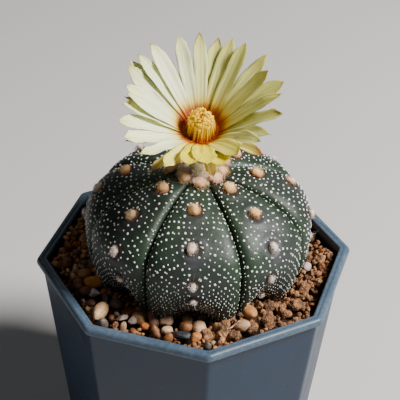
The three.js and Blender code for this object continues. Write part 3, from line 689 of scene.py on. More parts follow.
def build_pot():
    under_lip = POT_HEIGHT - LIP_DEPTH
    inner = wall_half(under_lip) - WALL_THICKNESS
    recess_half = wall_half(0) - FOOT_BAND
    rows = [(recess_half + out, height) for out, height in RECESS_EDGE]
    rows += [(wall_half(height) + out, height) for out, height in FOOT_EDGE]
    rows += [(wall_half(height), height) for height in np.linspace(4, under_lip - 2, 12)]
    rows += [(RIM_HALF + out, POT_HEIGHT + up) for out, up in LIP]
    inside = np.linspace(POT_HEIGHT - 2.2, FLOOR_THICKNESS + 1.2, 10)
    rows += [(min(wall_half(height) - WALL_THICKNESS, inner), height) for height in inside]
    floor_half = wall_half(FLOOR_THICKNESS) - WALL_THICKNESS
    rows += [(floor_half - 0.3, FLOOR_THICKNESS + 0.3), (floor_half - 1.2, FLOOR_THICKNESS)]
    turning = np.interp(np.arange(len(rows)), *zip(*CORNER_ROWS))
    loops = [octagon(half, corner) for (half, _), corner in zip(rows, turning)]
    columns = len(loops[0])
    points = [np.column_stack([loop, np.full(columns, height)]) for loop, (_, height) in zip(loops, rows)]
    faces = [grid_faces(len(rows), columns)]
    holes = [circle(x, y, radius) for x, y, radius in DRAINS]
    steps = len(holes[0])
    base = len(rows) * columns
    for hole in holes:
        points.append(np.column_stack([hole, np.full(steps, FOOT_RECESS)]))
        points.append(np.column_stack([hole, np.full(steps, FLOOR_THICKNESS)]))
    starts = base + 2 * steps * np.arange(len(holes))
    lower = [start + np.arange(steps) for start in starts]
    upper = [start + steps + np.arange(steps) for start in starts]
    faces += [grid_faces(2, steps, start=start)[:, ::-1] for start in starts]
    faces.append(pierced_plate(loops[0], np.arange(columns), holes, lower, upward=False))
    top = (len(rows) - 1) * columns + np.arange(columns)
    faces.append(pierced_plate(loops[-1], top, holes, upper, upward=True))
    return make_piece("pot_shell", np.concatenate(points), faces, pot_look(), "pot_plastic", ["pot"])


# ---------------------------------------------------------------- body of the plant
def rib_forms(rib, share):
    """Exponents of the outline above and below the widest level, at a share across a rib."""
    share = np.clip(share, -1, 1)
    side = np.where(share < 0, -1, 1)
    beside = (rib + side) % len(GROOVES)
    top, seam_fullness, seam = np.moveaxis(RIB_FORMS[rib], -1, 0)
    above = top + (np.minimum(top, RIB_FORMS[beside, 0]) - top) * np.abs(share) ** 3

    def below(fullness, middle, at):
        return np.minimum(fullness + FLANK_SWELL * (at - middle) ** 2, FLANK_FULLNESS)

    own = below(seam_fullness, seam, share)
    ends = below(seam_fullness, seam, side) + below(RIB_FORMS[beside, 1], RIB_FORMS[beside, 2], -side)
    return above, own + (ends / 2 - own) * np.abs(share) ** 12


def rib_outline(level, forms):
    """Distance from the axis and height over the ribs, for levels from -1 at the foot to 1 at the crown."""
    turn = np.abs(level) * np.pi / 2
    fullness = np.where(level > 0, forms[0], forms[1])
    rise = np.where(level > 0, TOP_RISE, -BASE_DROP)
    radius = GIRTH * np.clip(np.cos(turn), 0, 1) ** (2 / fullness)
    return radius, WIDEST_HEIGHT + rise * np.sin(turn) ** (2 / fullness)


RIB_STARTS = np.radians(FRONT_RIB + np.array((GROOVES[-1] - 360, *GROOVES[:-1])))
RIB_ENDS = np.radians(FRONT_RIB + np.array(GROOVES))
RIB_MIDDLES = (RIB_STARTS + RIB_ENDS) / 2
RIB_HALVES = (RIB_ENDS - RIB_STARTS) / 2
LEVELS = np.linspace(1, -0.97, 500)


def arc_tables(rib, share):
    """Distance from the crown at each of LEVELS, along the surface at each share across a rib."""
    radius, height = rib_outline(LEVELS, [form[..., None] for form in rib_forms(rib, share)])
    steps = np.hypot(np.diff(radius), np.diff(height))
    return np.concatenate([np.zeros((len(steps), 1)), np.cumsum(steps, axis=-1)], axis=-1)


def level_at(arc, rib, share):
    """The level at each distance from the crown along the surface."""
    arc, rib, share = np.broadcast_arrays(np.atleast_1d(arc), rib, share)
    tables = arc_tables(rib, share)
    return np.array([np.interp(distance, table, LEVELS) for distance, table in zip(arc, tables)])


def rib_at(azimuth):
    """Rib and share across it at each azimuth in radians."""
    turn = (azimuth - RIB_STARTS[0]) % (2 * np.pi)
    rib = np.minimum(np.searchsorted(RIB_ENDS - RIB_STARTS[0], turn), len(GROOVES) - 1)
    return rib, (turn + RIB_STARTS[0] - RIB_MIDDLES[rib]) / RIB_HALVES[rib]


def crown_dip(radius):
    return CROWN_DIP * np.exp(-((radius / CROWN_DIP_REACH) ** 2))


def plain_body(level, rib, share):
    """The body's form without its fine relief, in the plant's own place."""
    forms = rib_forms(rib, share)
    radius, height = rib_outline(level, forms)
    (r0, z0), (r1, z1) = rib_outline(level - 0.002, forms), rib_outline(np.minimum(level + 0.002, 1), forms)
    length = np.maximum(np.hypot(r1 - r0, z1 - z0), 1e-9)
    outward, upward = (z1 - z0) / length, -(r1 - r0) / length
    across = np.minimum(np.abs(share), 1)
    cut = GROOVE_DEPTH * np.minimum(radius / GROOVE_FADE, 1) * (0.5 * across**6 + 0.5 * across**22)
    r = np.maximum(radius - cut * outward, 0)
    azimuth = RIB_MIDDLES[rib] + RIB_HALVES[rib] * share
    return polar(r, azimuth, height - cut * upward - crown_dip(r)), polar(outward, azimuth, upward)


def areole_centres():
    """Place, outward direction and distance from the crown of each areole on the body."""
    rib = np.array([rib for rib, places in enumerate(AREOLES) for _ in places])
    arc, shift = np.array([place for places in AREOLES for place in places]).T
    share = np.radians(shift) / RIB_HALVES[rib]
    points, normals = plain_body(level_at(arc, rib, share), rib, share)
    return points, normals, arc


AREOLE_POINTS, AREOLE_NORMALS, AREOLE_ARCS = areole_centres()
YOUNG_ARC, AGEING_ARC = 20, 38  # distance from the crown where areoles begin to age, and over which they do
YOUNG_RADIUS, SHRINKING = 2.65, 1.25
AREOLE_AGES = np.clip((AREOLE_ARCS - YOUNG_ARC) / AGEING_ARC, 0, 1)
AREOLE_SIZES = YOUNG_RADIUS - SHRINKING * AREOLE_AGES


def nearest_areole(points):
    """Distance to the nearest areole, the point's height over it and its distance to the side of it."""
    nearest = np.full(points.shape[:-1], np.inf)
    above = np.zeros(points.shape[:-1])
    aside = np.zeros(points.shape[:-1])
    for centre in AREOLE_POINTS:
        away = points - centre
        gap = np.linalg.norm(away, axis=-1)
        closer = gap < nearest
        reach = np.hypot(centre[0], centre[1])
        sideways = np.abs(centre[0] * away[..., 1] - centre[1] * away[..., 0]) / reach
        nearest = np.where(closer, gap, nearest)
        above = np.where(closer, away[..., 2], above)
        aside = np.where(closer, sideways, aside)
    return nearest, above, aside


def skin(level, rib, share):
    """The body's surface with its relief: point and outline normal."""
    point, normal = plain_body(level, rib, share)
    gap, _, _ = nearest_areole(point)
    relief = 0.22 * smooth_noise(point, 12.0, seed=3) + 0.09 * smooth_noise(point, 4.5, seed=5)
    relief += 0.35 * np.exp(-(((gap - 3.8) / 1.3) ** 2)) - 0.5 * np.exp(-((gap / 2.4) ** 2))
    wrinkled = smoothstep(-4, -26, point[..., 2] - WIDEST_HEIGHT)
    folds = np.sin(point[..., 2] * 2.1 + 2.0 * smooth_noise(point, 5.0, seed=9))
    relief += 0.16 * wrinkled * folds * (1 - np.abs(share)) ** 0.5
    relief *= smoothstep(4, 16, np.hypot(point[..., 0], point[..., 1]))
    return point + normal * relief[..., None], normal


def skin_frame(level, rib, share):
    """Point on the skin, its true normal and the direction down the rib."""
    point, _ = skin(level, rib, share)
    below, _ = skin(level - 0.004, rib, share)
    beside, _ = skin(level, rib, share + 0.02)
    down = unit(below - point)
    normal = unit(np.cross(down, beside - point))
    return point, normal, down


def build_skin():
    half_shares = 1 - (1 - np.linspace(0, 1, 26)) ** 1.7  # closer together towards the grooves
    shares = np.concatenate([-half_shares[:0:-1], half_shares[:-1]])
    rib = np.repeat(np.arange(len(GROOVES)), len(shares))
    share = np.tile(shares, len(GROOVES))
    tables = arc_tables(rib, share)
    first, rows = 2.0, 230  # distance of the first row from the crown, number of rows
    ends = np.array([np.interp(-LOWEST_LEVEL, -LEVELS, table) for table in tables])
    arcs = first + (ends - first) * np.linspace(0, 1, rows)[:, None]
    level = np.stack([np.interp(arcs[:, i], table, LEVELS) for i, table in enumerate(tables)], axis=1)
    point, _ = skin(level, rib[None], share[None])
    tint = skin_tint(point, arcs, share[None], rib[None])
    azimuth = np.arctan2(point[-1, :, 1], point[-1, :, 0])
    root_rows = np.array([polar(radius, azimuth, BODY_FOOT - depth) for radius, depth in ROOT])
    tips = np.array([[0, 0, point[0, :, 2].mean()], [0, 0, root_rows[-1, 0, 2]]])
    points, faces = capped(np.concatenate([point, root_rows]), tips, flip=True)
    hidden = np.broadcast_to(tone("root"), (len(ROOT) * len(share) + 2, 3))
    tint = np.concatenate([tint.reshape(-1, 3), hidden])
    points += PLANT_AXIS
    make_piece("cactus_skin", points, faces, skin_look(), "cactus_skin", ["cactus_body"], tint=tint)


def skin_tint(point, arc, share, rib):
    """Colour of the skin: green, greyer on the ribs' backs, purple below the areoles, bronze at the foot."""
    gap, above, aside = nearest_areole(point)
    big = smooth_noise(point, 12.0, seed=21, octaves=2)
    small = smooth_noise(point, 3.0, seed=22, octaves=3)
    across = np.abs(share)
    colour = blend(*tone("skin"), smoothstep(-0.7, 0.9, big + 0.4 * small))
    back = smoothstep(0.85, 0.15, across + 0.2 * small) * smoothstep(14, 30, arc)
    colour = blend(colour, tone("rib back"), 0.5 * back)
    purple = np.exp(-((aside / 2.3) ** 2)) * smoothstep(-0.5, -3.0, above) * smoothstep(-11.0, -5.0, above)
    colour = blend(colour, tone("below areoles"), 0.6 * purple)
    halo = np.exp(-(((gap - 2.6) / 1.5) ** 2))
    colour = blend(colour, tone("round areoles"), 0.5 * halo)
    colour = blend(colour, tone("rib flanks"), 0.7 * smoothstep(0.68, 0.93, across) * smoothstep(8, 20, arc))
    drop = WIDEST_HEIGHT - point[..., 2]
    seam = np.exp(-(((share - RIB_FORMS[rib, 2]) / 0.62) ** 4))
    bronze = smoothstep(13, 25, drop + 3.0 * small) * seam
    colour = blend(colour, tone("skin at foot"), 0.85 * bronze)
    scurf = smoothstep(0.3, 0.9, small) * smoothstep(16, 26, drop) * seam
    return blend(colour, tone("scurf"), 0.4 * scurf)


# ---------------------------------------------------------------- white flecks
FLECK_WIDTH = 0.35
FLECK_HEIGHT = 0.36
FLECKS_ROUND_AREOLE = 13
FLECK_GAP = 1.6
FLECK_STEP = 1.95
FIRST_ARCH = 8.0
ARCH_STEP = 2.1


def rib_spots(*columns):
    return np.column_stack(np.broadcast_arrays(*columns))


def fleck_spots(random):
    """Flecks of one rib after another: rib, distance from the crown, share across, size and stretch."""
    spots = []
    for rib in range(len(GROOVES)):
        table = arc_tables(np.array([rib]), np.array([0.0]))[0]
        girths = rib_outline(LEVELS, [form[0] for form in rib_forms(np.array([rib]), np.array([0.0]))])[0]
        longest = np.interp(-LOWEST_LEVEL, -LEVELS, table) - 2.0

        def half_width(arc):
            return RIB_HALVES[rib] * np.interp(arc, table, girths)

        centres = [(math.radians(shift) * np.interp(arc, table, girths), arc) for arc, shift in AREOLES[rib]]
        placed = np.empty((0, 2))
        for x, arc in centres:
            if arc > 55:
                continue
            count = FLECKS_ROUND_AREOLE
            turn = 2 * np.pi * (np.arange(count) + random.random()) / count + random.normal(0, 0.12, count)
            reach = random.normal(3.45, 0.2, count)
            ring = np.column_stack([x + reach * np.sin(turn), arc - reach * np.cos(turn)])
            placed = np.concatenate([placed, ring[(np.cos(turn) > -0.75) & (random.random(count) > 0.12)]])
        apex = FIRST_ARCH
        while apex < longest:
            steep = 0.008 + 0.075 * smoothstep(26, 54, apex)
            seam = RIB_FORMS[rib, 2] * half_width(apex) * smoothstep(40, 60, apex)
            for side in (-1, 1):
                x = 0.0 if side > 0 else random.uniform(1.2, 1.9)
                while True:
                    low = smoothstep(48, 60, apex + steep * x * x)
                    loose = 0.2 - 0.11 * low
                    arc = apex + steep * x * x + random.normal(0, loose)
                    place = np.array([seam + side * x + random.normal(0, loose), arc])
                    if arc > longest or abs(place[0]) > half_width(arc) - 1.0 - 1.4 * low:
                        break
                    gap = np.hypot(*(placed - place).T) if len(placed) else np.array([9.0])
                    below = [abs(place[0] - cx) < 1.2 and 0 < arc - ca < 6.5 for cx, ca in centres]
                    if gap.min() > FLECK_GAP - 0.5 * low and not any(below) and random.random() > 0.04:
                        placed = np.concatenate([placed, place[None]])
                    slope = 2 * steep * x
                    x += (FLECK_STEP - 0.6 * low) * random.uniform(0.8, 1.24) / math.hypot(1, slope)
            apex += ARCH_STEP - 0.3 * smoothstep(48, 58, apex)
        low = smoothstep(47, 60, placed[:, 1])
        share = placed[:, 0] / half_width(placed[:, 1])
        size = random.uniform(0.78, 1.36, len(placed)) * (1 - 0.55 * low)
        spots.append(rib_spots(rib, placed[:, 1], share, size, 1 + 1.1 * low))
        twins = placed[random.random(len(placed)) < 0.1]
        beside = twins + random.choice((-1, 1), len(twins))[:, None] * np.array([0.62, 0.3])
        share = beside[:, 0] / half_width(beside[:, 1])
        spots.append(rib_spots(rib, beside[:, 1], share, 0.7, 1))
        for side in (-1, 1):
            arcs = 12 + np.cumsum(random.uniform(1.3, 2.6, 30))
            arcs = arcs[arcs < longest - 8]
            share = side * (1 - (0.85 + random.normal(0, 0.15, len(arcs))) / half_width(arcs))
            spots.append(rib_spots(rib, arcs, share, 0.62, 1.2))
    return np.concatenate(spots)


def fleck_templates(random):
    """Small woolly tufts: a low uneven dome with a few short blades round it."""
    templates = []
    for _ in range(8):
        sides = 6
        angle = turn_steps(sides)
        rings = []
        for reach, height in ((1.0, -0.25), (0.9, 0.2), (0.55, 0.42)):
            wobble = 1 + 0.17 * random.normal(size=sides)
            ring = polar(reach * wobble, angle, height)
            rings.append(ring)
        dome = np.concatenate([*rings, [[0, 0, 0.46]], [[0, 0, -0.3]]])
        quads = grid_faces(3, sides)
        upper = fan(2 * sides + np.arange(sides), 3 * sides)
        lower = fan(np.arange(sides), 3 * sides + 1, flip=True)
        halves = np.concatenate([quads[:, [0, 1, 2]], quads[:, [0, 2, 3]]])
        count = 3
        turn = random.uniform(0, 2 * np.pi, count)
        lift = random.uniform(0.2, 0.8, count)
        direction = polar(np.cos(lift), turn, np.sin(lift))
        roots = direction * (0.5, 0.5, 0) + (0, 0, 0.1)
        lengths = random.uniform(0.5, 0.8, count)
        straight = np.zeros((count, 3))
        blades, groups, _, _ = hairs(roots, direction, lengths, HAIR_RADII["flecks"], straight, steps=1)
        sheets = np.concatenate([groups[0][:, [0, 1, 2]], groups[0][:, [0, 2, 3]], groups[1]])
        faces = np.concatenate([halves, upper, lower, sheets + len(dome)])
        templates.append((np.concatenate([dome, blades]), faces))
    return templates


def build_flecks():
    random = np.random.default_rng(SEEDS["flecks"])
    spots = fleck_spots(random)
    rib = spots[:, 0].astype(int)
    level = level_at(spots[:, 1], rib, spots[:, 2])
    point, normal, down = skin_frame(level, rib, spots[:, 2])
    gap, _, _ = nearest_areole(point)
    sunk = smoothstep(21, 28, WIDEST_HEIGHT - point[:, 2])
    from_axis = np.hypot(point[:, 0], point[:, 1])
    kept = (gap > 2.4) & (from_axis > 11.0) & (random.random(len(point)) > 0.6 * sunk)
    point, normal, down, spots = point[kept], normal[kept], down[kept], spots[kept]
    turns = np.stack([down, np.cross(normal, down), normal], axis=2)
    count = len(point)
    width = FLECK_WIDTH * spots[:, 3] * random.uniform(0.85, 1.15, count)
    low = smoothstep(12, 24, WIDEST_HEIGHT - point[:, 2])
    across = width * random.uniform(0.8, 1.1, count) * (1 - 0.25 * low)
    scales = np.column_stack([width * spots[:, 4], across, np.full(count, FLECK_HEIGHT)])
    templates = fleck_templates(random)
    picks = random.integers(0, len(templates), count)
    points, faces, owners = scatter(templates, picks, point, turns, scales)
    # Painted shade: low flecks are darkened, some at random in the lower zone and all by up to half near the
    # foot, for the shade under the body's widest part. The rest of the spread is random tone.
    lowest = smoothstep(17, 27, WIDEST_HEIGHT - point[:, 2])
    shade = random.uniform(0.86, 1.0, count) * (1 - 0.5 * low * random.random(count)) * (1 - 0.5 * lowest)
    tint = blend(*tone("flecks"), low * random.random(count)) * shade[:, None]
    look = tinted_look("fleck_wool", grain=0.25, depth=0.06, shade=0.12)
    points += PLANT_AXIS
    on_left = points[faces[:, 0], 0] < PLANT_AXIS[0]
    for name, part in (("skin_flecks_left", on_left), ("skin_flecks_right", ~on_left)):
        used, triangles = np.unique(faces[part], return_inverse=True)
        make_piece(name, points[used], [triangles.reshape(-1, 3)], look, "wool", tint=tint[owners[used]])


# ---------------------------------------------------------------- areoles and wool
def felt_lump(random, height):
    """A unit ball of felt: a few soft knobs grown together, with small tufts of a height."""
    points, faces = icosphere(3)
    tufts, knob_count = 110, 7
    centres = unit(random.normal(size=(tufts, 3)))
    gap = 1 - points @ centres.T
    swell = np.max(random.uniform(0.3, 1.0, tufts) * np.clip(1 - gap / 0.045, 0, 1), axis=1) ** 0.8
    knobs = unit(random.normal(size=(knob_count, 3)) + (0, 0, 0.4))
    knobs = knobs * random.uniform(0.32, 0.46, (knob_count, 1))
    facing = points @ knobs.T
    knob_sizes = random.uniform(0.54, 0.64, knob_count)
    form = np.max(facing + np.sqrt(facing**2 - np.sum(knobs**2, axis=1) + knob_sizes**2), axis=1)
    form = form + 0.05 * smooth_noise(points, 0.4, drawn_seed(random))
    return points * (form * (1 - height + height * swell))[:, None], faces


def dome_hairs(random, places, turns, scales, per, length, spread, wild):
    """Short hairs all over the outer half of domes, and a share of wild ones that are much longer.

    Gives what hairs() gives, with the dome of each point after the faces.
    """
    owner = np.repeat(np.arange(len(places)), per)
    start = unit(random.normal(size=(len(owner), 3)))
    start[:, 2] = np.abs(start[:, 2]) - 0.12
    start = unit(start)
    root = places[owner] + np.einsum("nij,nj->ni", turns[owner], start * scales[owner] * 0.93)
    away = unit(start + (0, 0, 0.25) + spread * random.normal(size=start.shape))
    direction = np.einsum("nij,nj->ni", turns[owner], away)
    reach = random.uniform(0.5, 1.0, len(owner)) * length
    long = random.random(len(owner)) < wild
    reach[long] *= random.uniform(3, 7, long.sum())
    curl = random.normal(size=start.shape) * (0.35 * reach)[:, None]
    points, faces, whose, share = hairs(root, direction, reach, HAIR_RADII["areoles"], curl)
    return points, faces, owner[whose], whose, share


def build_areoles():
    random = np.random.default_rng(SEEDS["areoles"])
    templates = [felt_lump(random, height=0.09) for _ in range(8)]
    count = len(AREOLE_SIZES)
    radius = AREOLE_SIZES * random.uniform(0.95, 1.03, count)
    places = AREOLE_POINTS + AREOLE_NORMALS * 0.1 * radius[:, None]
    down = unit(np.cross(np.cross(AREOLE_NORMALS, [0.0, 0.0, -1.0]), AREOLE_NORMALS))
    turns = np.stack([down, np.cross(AREOLE_NORMALS, down), AREOLE_NORMALS], axis=2)
    oblong = 1 + 0.24 * np.exp(-(((AREOLE_AGES - 0.65) / 0.25) ** 2))
    scales = np.column_stack([radius * oblong, radius / oblong**0.4, radius * (0.98 - 0.12 * AREOLE_AGES)])
    picks = random.integers(0, len(templates), count)
    points, faces, owners = scatter(templates, picks, places, turns, scales)
    out = np.einsum("ij,ij->i", points - places[owners], AREOLE_NORMALS[owners]) / radius[owners]
    # The tops are paler than the orange flanks: partly the wool's own paler tips, partly a painted highlight
    # on the lit tops and painted shade on the flanks.
    old = smoothstep(0.15, 0.6, AREOLE_AGES)
    flank = blend(*tone("areole flanks"), old)
    top = blend(*tone("areole tops"), old)
    patch = 0.25 * smooth_noise(points, 1.3, seed=29)
    tint = blend(flank[owners], top[owners], smoothstep(-0.1, 0.7, out + patch))
    look = tinted_look("areole_wool", grain=0.3, depth=0.1, shade=0.3, Sheen_Weight=0.25)
    make_piece("areole_pads", points + PLANT_AXIS, [faces], look, "wool", tint=tint)
    fur = {"per": 300, "length": 0.55, "spread": 0.55, "wild": 0.015}
    fuzz, groups, owner, whose, share = dome_hairs(random, places, turns, scales, **fur)
    height = np.einsum("ij,ij->i", fuzz - places[owner], AREOLE_NORMALS[owner]) / radius[owner]
    # The hairs take the same paler tops, partly painted highlight.
    base = blend(flank[owner], top[owner], smoothstep(-0.1, 0.7, height))
    tint = base * random.uniform(0.85, 1.15, whose.max() + 1)[whose][:, None] * (0.92 + 0.16 * share[:, None])
    hair_look = tinted_look("areole_hair", grain=0.6, depth=0.02, shade=0.08)
    make_piece("areole_hairs", fuzz + PLANT_AXIS, groups, hair_look, "wool", tint=tint)


def build_crown():
    """Young areoles that crowd round the flower's foot, in a bed of wool."""
    random = np.random.default_rng(SEEDS["crown"])
    crown = WIDEST_HEIGHT + TOP_RISE
    turn, reach = np.array(CROWN_PADS).T
    pads = polar(reach, np.radians(FRONT_RIB + turn), crown + 0.8)
    extra = 22
    bed_turn = np.linspace(0, 2 * np.pi, extra, endpoint=False) + random.normal(0, 0.1, extra)
    bed_reach = np.tile((5.2, 6.9), extra // 2) + random.normal(0, 0.3, extra)
    bed = polar(bed_reach, bed_turn, crown - 1.0 + 0.25 * random.normal(size=extra))
    places = np.concatenate([pads, bed])
    size = np.concatenate([random.uniform(2.1, 2.8, len(pads)), random.uniform(1.5, 2.1, extra)])
    templates = [felt_lump(random, height=0.12) for _ in range(6)]
    outward = polar(0.45, np.arctan2(places[:, 1], places[:, 0]), 1.0)
    turns = frames(outward, random.uniform(0, 2 * np.pi, len(places)))
    long, high = random.uniform(0.9, 1.25, len(size)), random.uniform(0.6, 0.8, len(size))
    scales = np.column_stack([size * long, size, size * high])
    picks = random.integers(0, len(templates), len(places))
    points, faces, owners = scatter(templates, picks, places, turns, scales)
    cream = np.concatenate([random.uniform(0.0, 0.5, len(pads)), random.uniform(0.75, 1.0, extra)])
    # The tops are paler than the flanks: partly the wool's own cream, partly a painted highlight on the tops
    # and painted shade on the flanks.
    flank = blend(*tone("crown flanks"), cream)
    top = blend(*tone("crown tops"), cream)
    high = (points[:, 2] - places[owners][:, 2]) / size[owners]
    patch = 0.25 * smooth_noise(points, 1.3, seed=33)
    tint = blend(flank[owners], top[owners], smoothstep(-0.2, 0.7, high + patch))
    look = tinted_look("crown_wool", grain=0.3, depth=0.1, shade=0.3, Sheen_Weight=0.25)
    make_piece("crown_pads", points + PLANT_AXIS, [faces], look, "wool", ["crown_wool"], tint=tint)
    fur = {"per": 260, "length": 0.8, "spread": 0.7, "wild": 0.04}
    fuzz, groups, owner, _, share = dome_hairs(random, places, turns, scales, **fur)
    tint = (top[owner] * 0.6 + flank[owner] * 0.4) * (0.95 + 0.3 * share[:, None])
    hair_look = tinted_look("crown_hair", grain=0.6, depth=0.02, shade=0.08)
    make_piece("crown_hairs", fuzz + PLANT_AXIS, groups, hair_look, "wool", tint=tint)


# ---------------------------------------------------------------- flower
def flower_matrix():
    azimuth, lean = math.radians(FLOWER_AZIMUTH), math.radians(FLOWER_LEAN)
    turn = Matrix.Rotation(azimuth, 4, "Z") @ Matrix.Rotation(lean, 4, "Y")
    turn = turn @ Matrix.Rotation(-azimuth, 4, "Z")
    axis = np.array(turn.col[2][:3])
    crown = PLANT_AXIS + (0, 0, WIDEST_HEIGHT + TOP_RISE - CROWN_DIP)
    matrix = np.array(turn)
    matrix[:3, 3] = crown + axis * FLOWER_REACH
    return matrix


FLOWER = flower_matrix()


def turned_about_axis(points, azimuth):
    cosine, sine = math.cos(azimuth), math.sin(azimuth)
    x = points[..., 0] * cosine - points[..., 1] * sine
    y = points[..., 0] * sine + points[..., 1] * cosine
    return np.stack([x, y, points[..., 2]], axis=-1)


def petal_points(azimuth, lift, length, width, random, rows=40, half_columns=8):
    """Closed loops of points along one petal, and its share across and along at each point."""
    along = 1 - (1 - np.linspace(0, 1, rows + 1)) ** 1.35
    across = np.linspace(-1, 1, 2 * half_columns + 1)
    tip = math.radians(lift)
    root = np.array(PETAL_ROOT)
    end = np.array((length * math.cos(tip), length * math.sin(tip)))
    rising = math.radians(lift + PETAL_CUP)
    pull = root + PETAL_PULL * np.linalg.norm(end - root) * np.array((math.cos(rising), math.sin(rising)))
    bowed = (1 - along)[:, None] ** 2 * root + 2 * ((1 - along) * along)[:, None] * pull
    line = bowed + along[:, None] ** 2 * end
    tangent = unit(2 * (1 - along)[:, None] * (pull - root) + 2 * along[:, None] * (end - pull))
    normal = np.stack([-tangent[:, 1], tangent[:, 0]], axis=-1)
    swell = 0.5 + 0.5 * np.sin(np.pi / 2 * np.minimum(along / 0.72, 1))
    shoulder = 0.7 + random.uniform(-0.04, 0.05)
    blunt = random.uniform(2.3, 3.6) + (1.4 if width > 7 else 0.0)
    tip_share = np.clip((along - shoulder) / (1 - shoulder), 0, 1)
    narrowing = 1 - 0.94 * tip_share**blunt
    half = width / 2 * swell * narrowing
    lopsided = np.where(across < 0, 1 + 0.06 * random.normal(), 1 + 0.06 * random.normal())
    ragged = np.column_stack([along * 34, np.full(rows + 1, 7.0 * random.random()), along * 0])
    outer = smoothstep(0.62, 0.9, along)
    left, right = (0.13 * smooth_noise(ragged + offset, 1.0, seed=41) * outer for offset in (0, 31.0))
    teeth = 1 + np.where(across[None] < 0, left[:, None], right[:, None]) * np.abs(across[None]) ** 2
    side = across[None] * lopsided[None] * half[:, None] * teeth
    bow = random.normal(0, 0.9)
    roll = random.normal(0, 0.2) * along + random.normal(0, 0.05)
    channel = random.uniform(0.12, 0.3) * half[:, None] * across[None] ** 2
    keel = -0.24 * np.exp(-((across[None] / 0.13) ** 2)) * np.sin(np.pi * np.clip(along, 0, 1))[:, None]
    fade = np.sin(np.pi * np.clip(along * 0.9 + 0.1, 0, 1))[:, None]
    pleats = 0.13 * np.cos(3 * np.pi * across + random.uniform(-0.6, 0.6))[None] * fade
    phase, waves = random.uniform(0, FULL_TURN), random.uniform(1.5, 3.0)
    edge = np.abs(across[None]) ** 3 * np.sign(across)[None]
    ripple = 0.3 * np.sin(waves * 2 * np.pi * along + phase)[:, None] * edge
    ripple = ripple * smoothstep(0.2, 0.6, along)[:, None]
    curl = random.uniform(-0.9, 1.1) * smoothstep(0.72, 1.0, along) ** 2
    middle = PETAL_LID / 2 + channel + keel + pleats + ripple + side * roll[:, None] + curl[:, None]
    thick = (0.42 - 0.22 * along[:, None]) * (1 - 0.72 * across[None] ** 2) + 0.05
    sections = []
    for sign in (1, -1):
        offset = middle + sign * thick / 2
        r = line[:, 0:1] + normal[:, 0:1] * offset
        z = line[:, 1:2] + normal[:, 1:2] * offset
        sections.append(np.stack([r, side + bow * (along**2)[:, None], z], axis=-1))
    loops = np.concatenate([sections[0], sections[1][:, ::-1][:, 1:-1]], axis=1)
    shares = np.concatenate([across, across[::-1][1:-1]]) * 0.5 + 0.5
    place = np.stack(np.broadcast_arrays(shares[None], along[:, None]), axis=-1)
    return turned_about_axis(loops, math.radians(azimuth)), place


def petal_mesh(sizes, random):
    """One petal: points, faces, the attribute that its material reads, its tip and the way it points."""
    loops, place = petal_points(*sizes, random)
    start, end = loops[0].mean(axis=0), loops[-1].mean(axis=0)
    end = end + 0.3 * unit(end - loops[-2].mean(axis=0))
    points, faces = capped(loops, [start, end], flip=True)
    flat = np.concatenate([place.reshape(-1, 2), [[0.5, 0.0], [0.5, 1.0]]])
    attribute = np.column_stack([flat, np.full(len(flat), random.random())])
    return points, faces, attribute, end, unit(end - start)


def build_petals():
    random = np.random.default_rng(SEEDS["petals"])
    parts, places, tints, tips, ways = [], [], [], [], []
    for sizes in PETALS:
        points, faces, place, tip, way = petal_mesh(sizes, random)
        parts.append((points, faces))
        places.append(place)
        # Painted light and shade: each petal's tint follows its azimuth. The front ones get a saturated
        # yellow for light shining through them, those turned from the key light a darker olive as painted
        # shade, and the rest stay pale.
        front = np.exp(-(((sizes[0] + 68) / 38) ** 4))
        shadowed = smoothstep(96, 48, abs(sizes[0] - 44))
        tint = blend(*tone("petals"), front)
        tint = blend(tint, tone("petals in shade"), 0.85 * shadowed) * random.uniform(0.93, 1.02)
        tints.append(np.broadcast_to(tint, (len(points), 3)))
        tips.append(tip)
        ways.append(way)
    points, faces = joined(parts)
    place, tint = np.concatenate(places), np.concatenate(tints)
    points = moved(points, FLOWER)
    make_piece("petals", points, faces, petal_look(), "petal", ["flower_petals"], place=place, tint=tint)
    outer_parts, outer_tints = [], []
    for sizes in OUTER_PETALS:
        points, faces, place, tip, way = petal_mesh(sizes, random)
        outer_parts.append((points, faces))
        rib = np.exp(-(((place[:, 0] - 0.5) / 0.13) ** 2))
        tint = blend(*tone("outer petals"), 0.7 * rib)
        outer_tints.append(blend(tint, tone("outer petal tips"), smoothstep(0.78, 1.0, place[:, 1])))
        tips.append(tip)
        ways.append(way)
    points, faces = joined(outer_parts)
    soft = {"Subsurface_Weight": 0.2, "Subsurface_Scale": 0.001}
    look = tinted_look("outer_petal", roughness=0.6, grain=0.8, depth=0.06, shade=0.2, **soft)
    tint = np.concatenate(outer_tints)
    make_piece("outer_petals", moved(points, FLOWER), faces, look, "petal", tint=tint)
    build_bristles(np.array(tips), np.array(ways), random)


def build_bristles(tips, ways, random):
    """Fine wisps at the petals' tips."""
    per = 4
    owner = np.repeat(np.arange(len(tips)), per)
    direction = unit(ways[owner] + 0.3 * random.normal(size=(len(owner), 3)))
    length = random.uniform(0.7, 2.3, len(owner))
    curl = random.normal(size=(len(owner), 3)) * 0.7
    roots = tips[owner] - ways[owner] * 0.7
    shape = {"sides": 4, "steps": 5}
    points, faces, _, share = hairs(roots, direction, length, HAIR_RADII["bristles"], curl, **shape)
    tint = blend(*tone("bristles"), share)
    look = tinted_look("bristle", grain=0.6, depth=0.01, shade=0.15)
    make_piece("petal_bristles", moved(points, FLOWER), faces, look, "petal", tint=tint)


# The cup's section, up its outside and down its lining: distance from the axis, height over the cup's foot.
CUP_OUTSIDE = ((0.0, 0.0), (4.4, 0.0), (4.9, 0.7), (5.6, 2.0), (6.4, 3.1), (7.3, 4.2), (8.1, 5.2), (8.7, 6.0))
CUP_LINING = (
    (8.75, 6.3), (8.4, 6.7), (7.4, 5.9), (6.2, 4.9), (5.3, 3.7), (4.4, 2.6), (3.7, 1.5), (2.0, 1.1),
    (0.0, 1.1),
)
FLUTES = 28


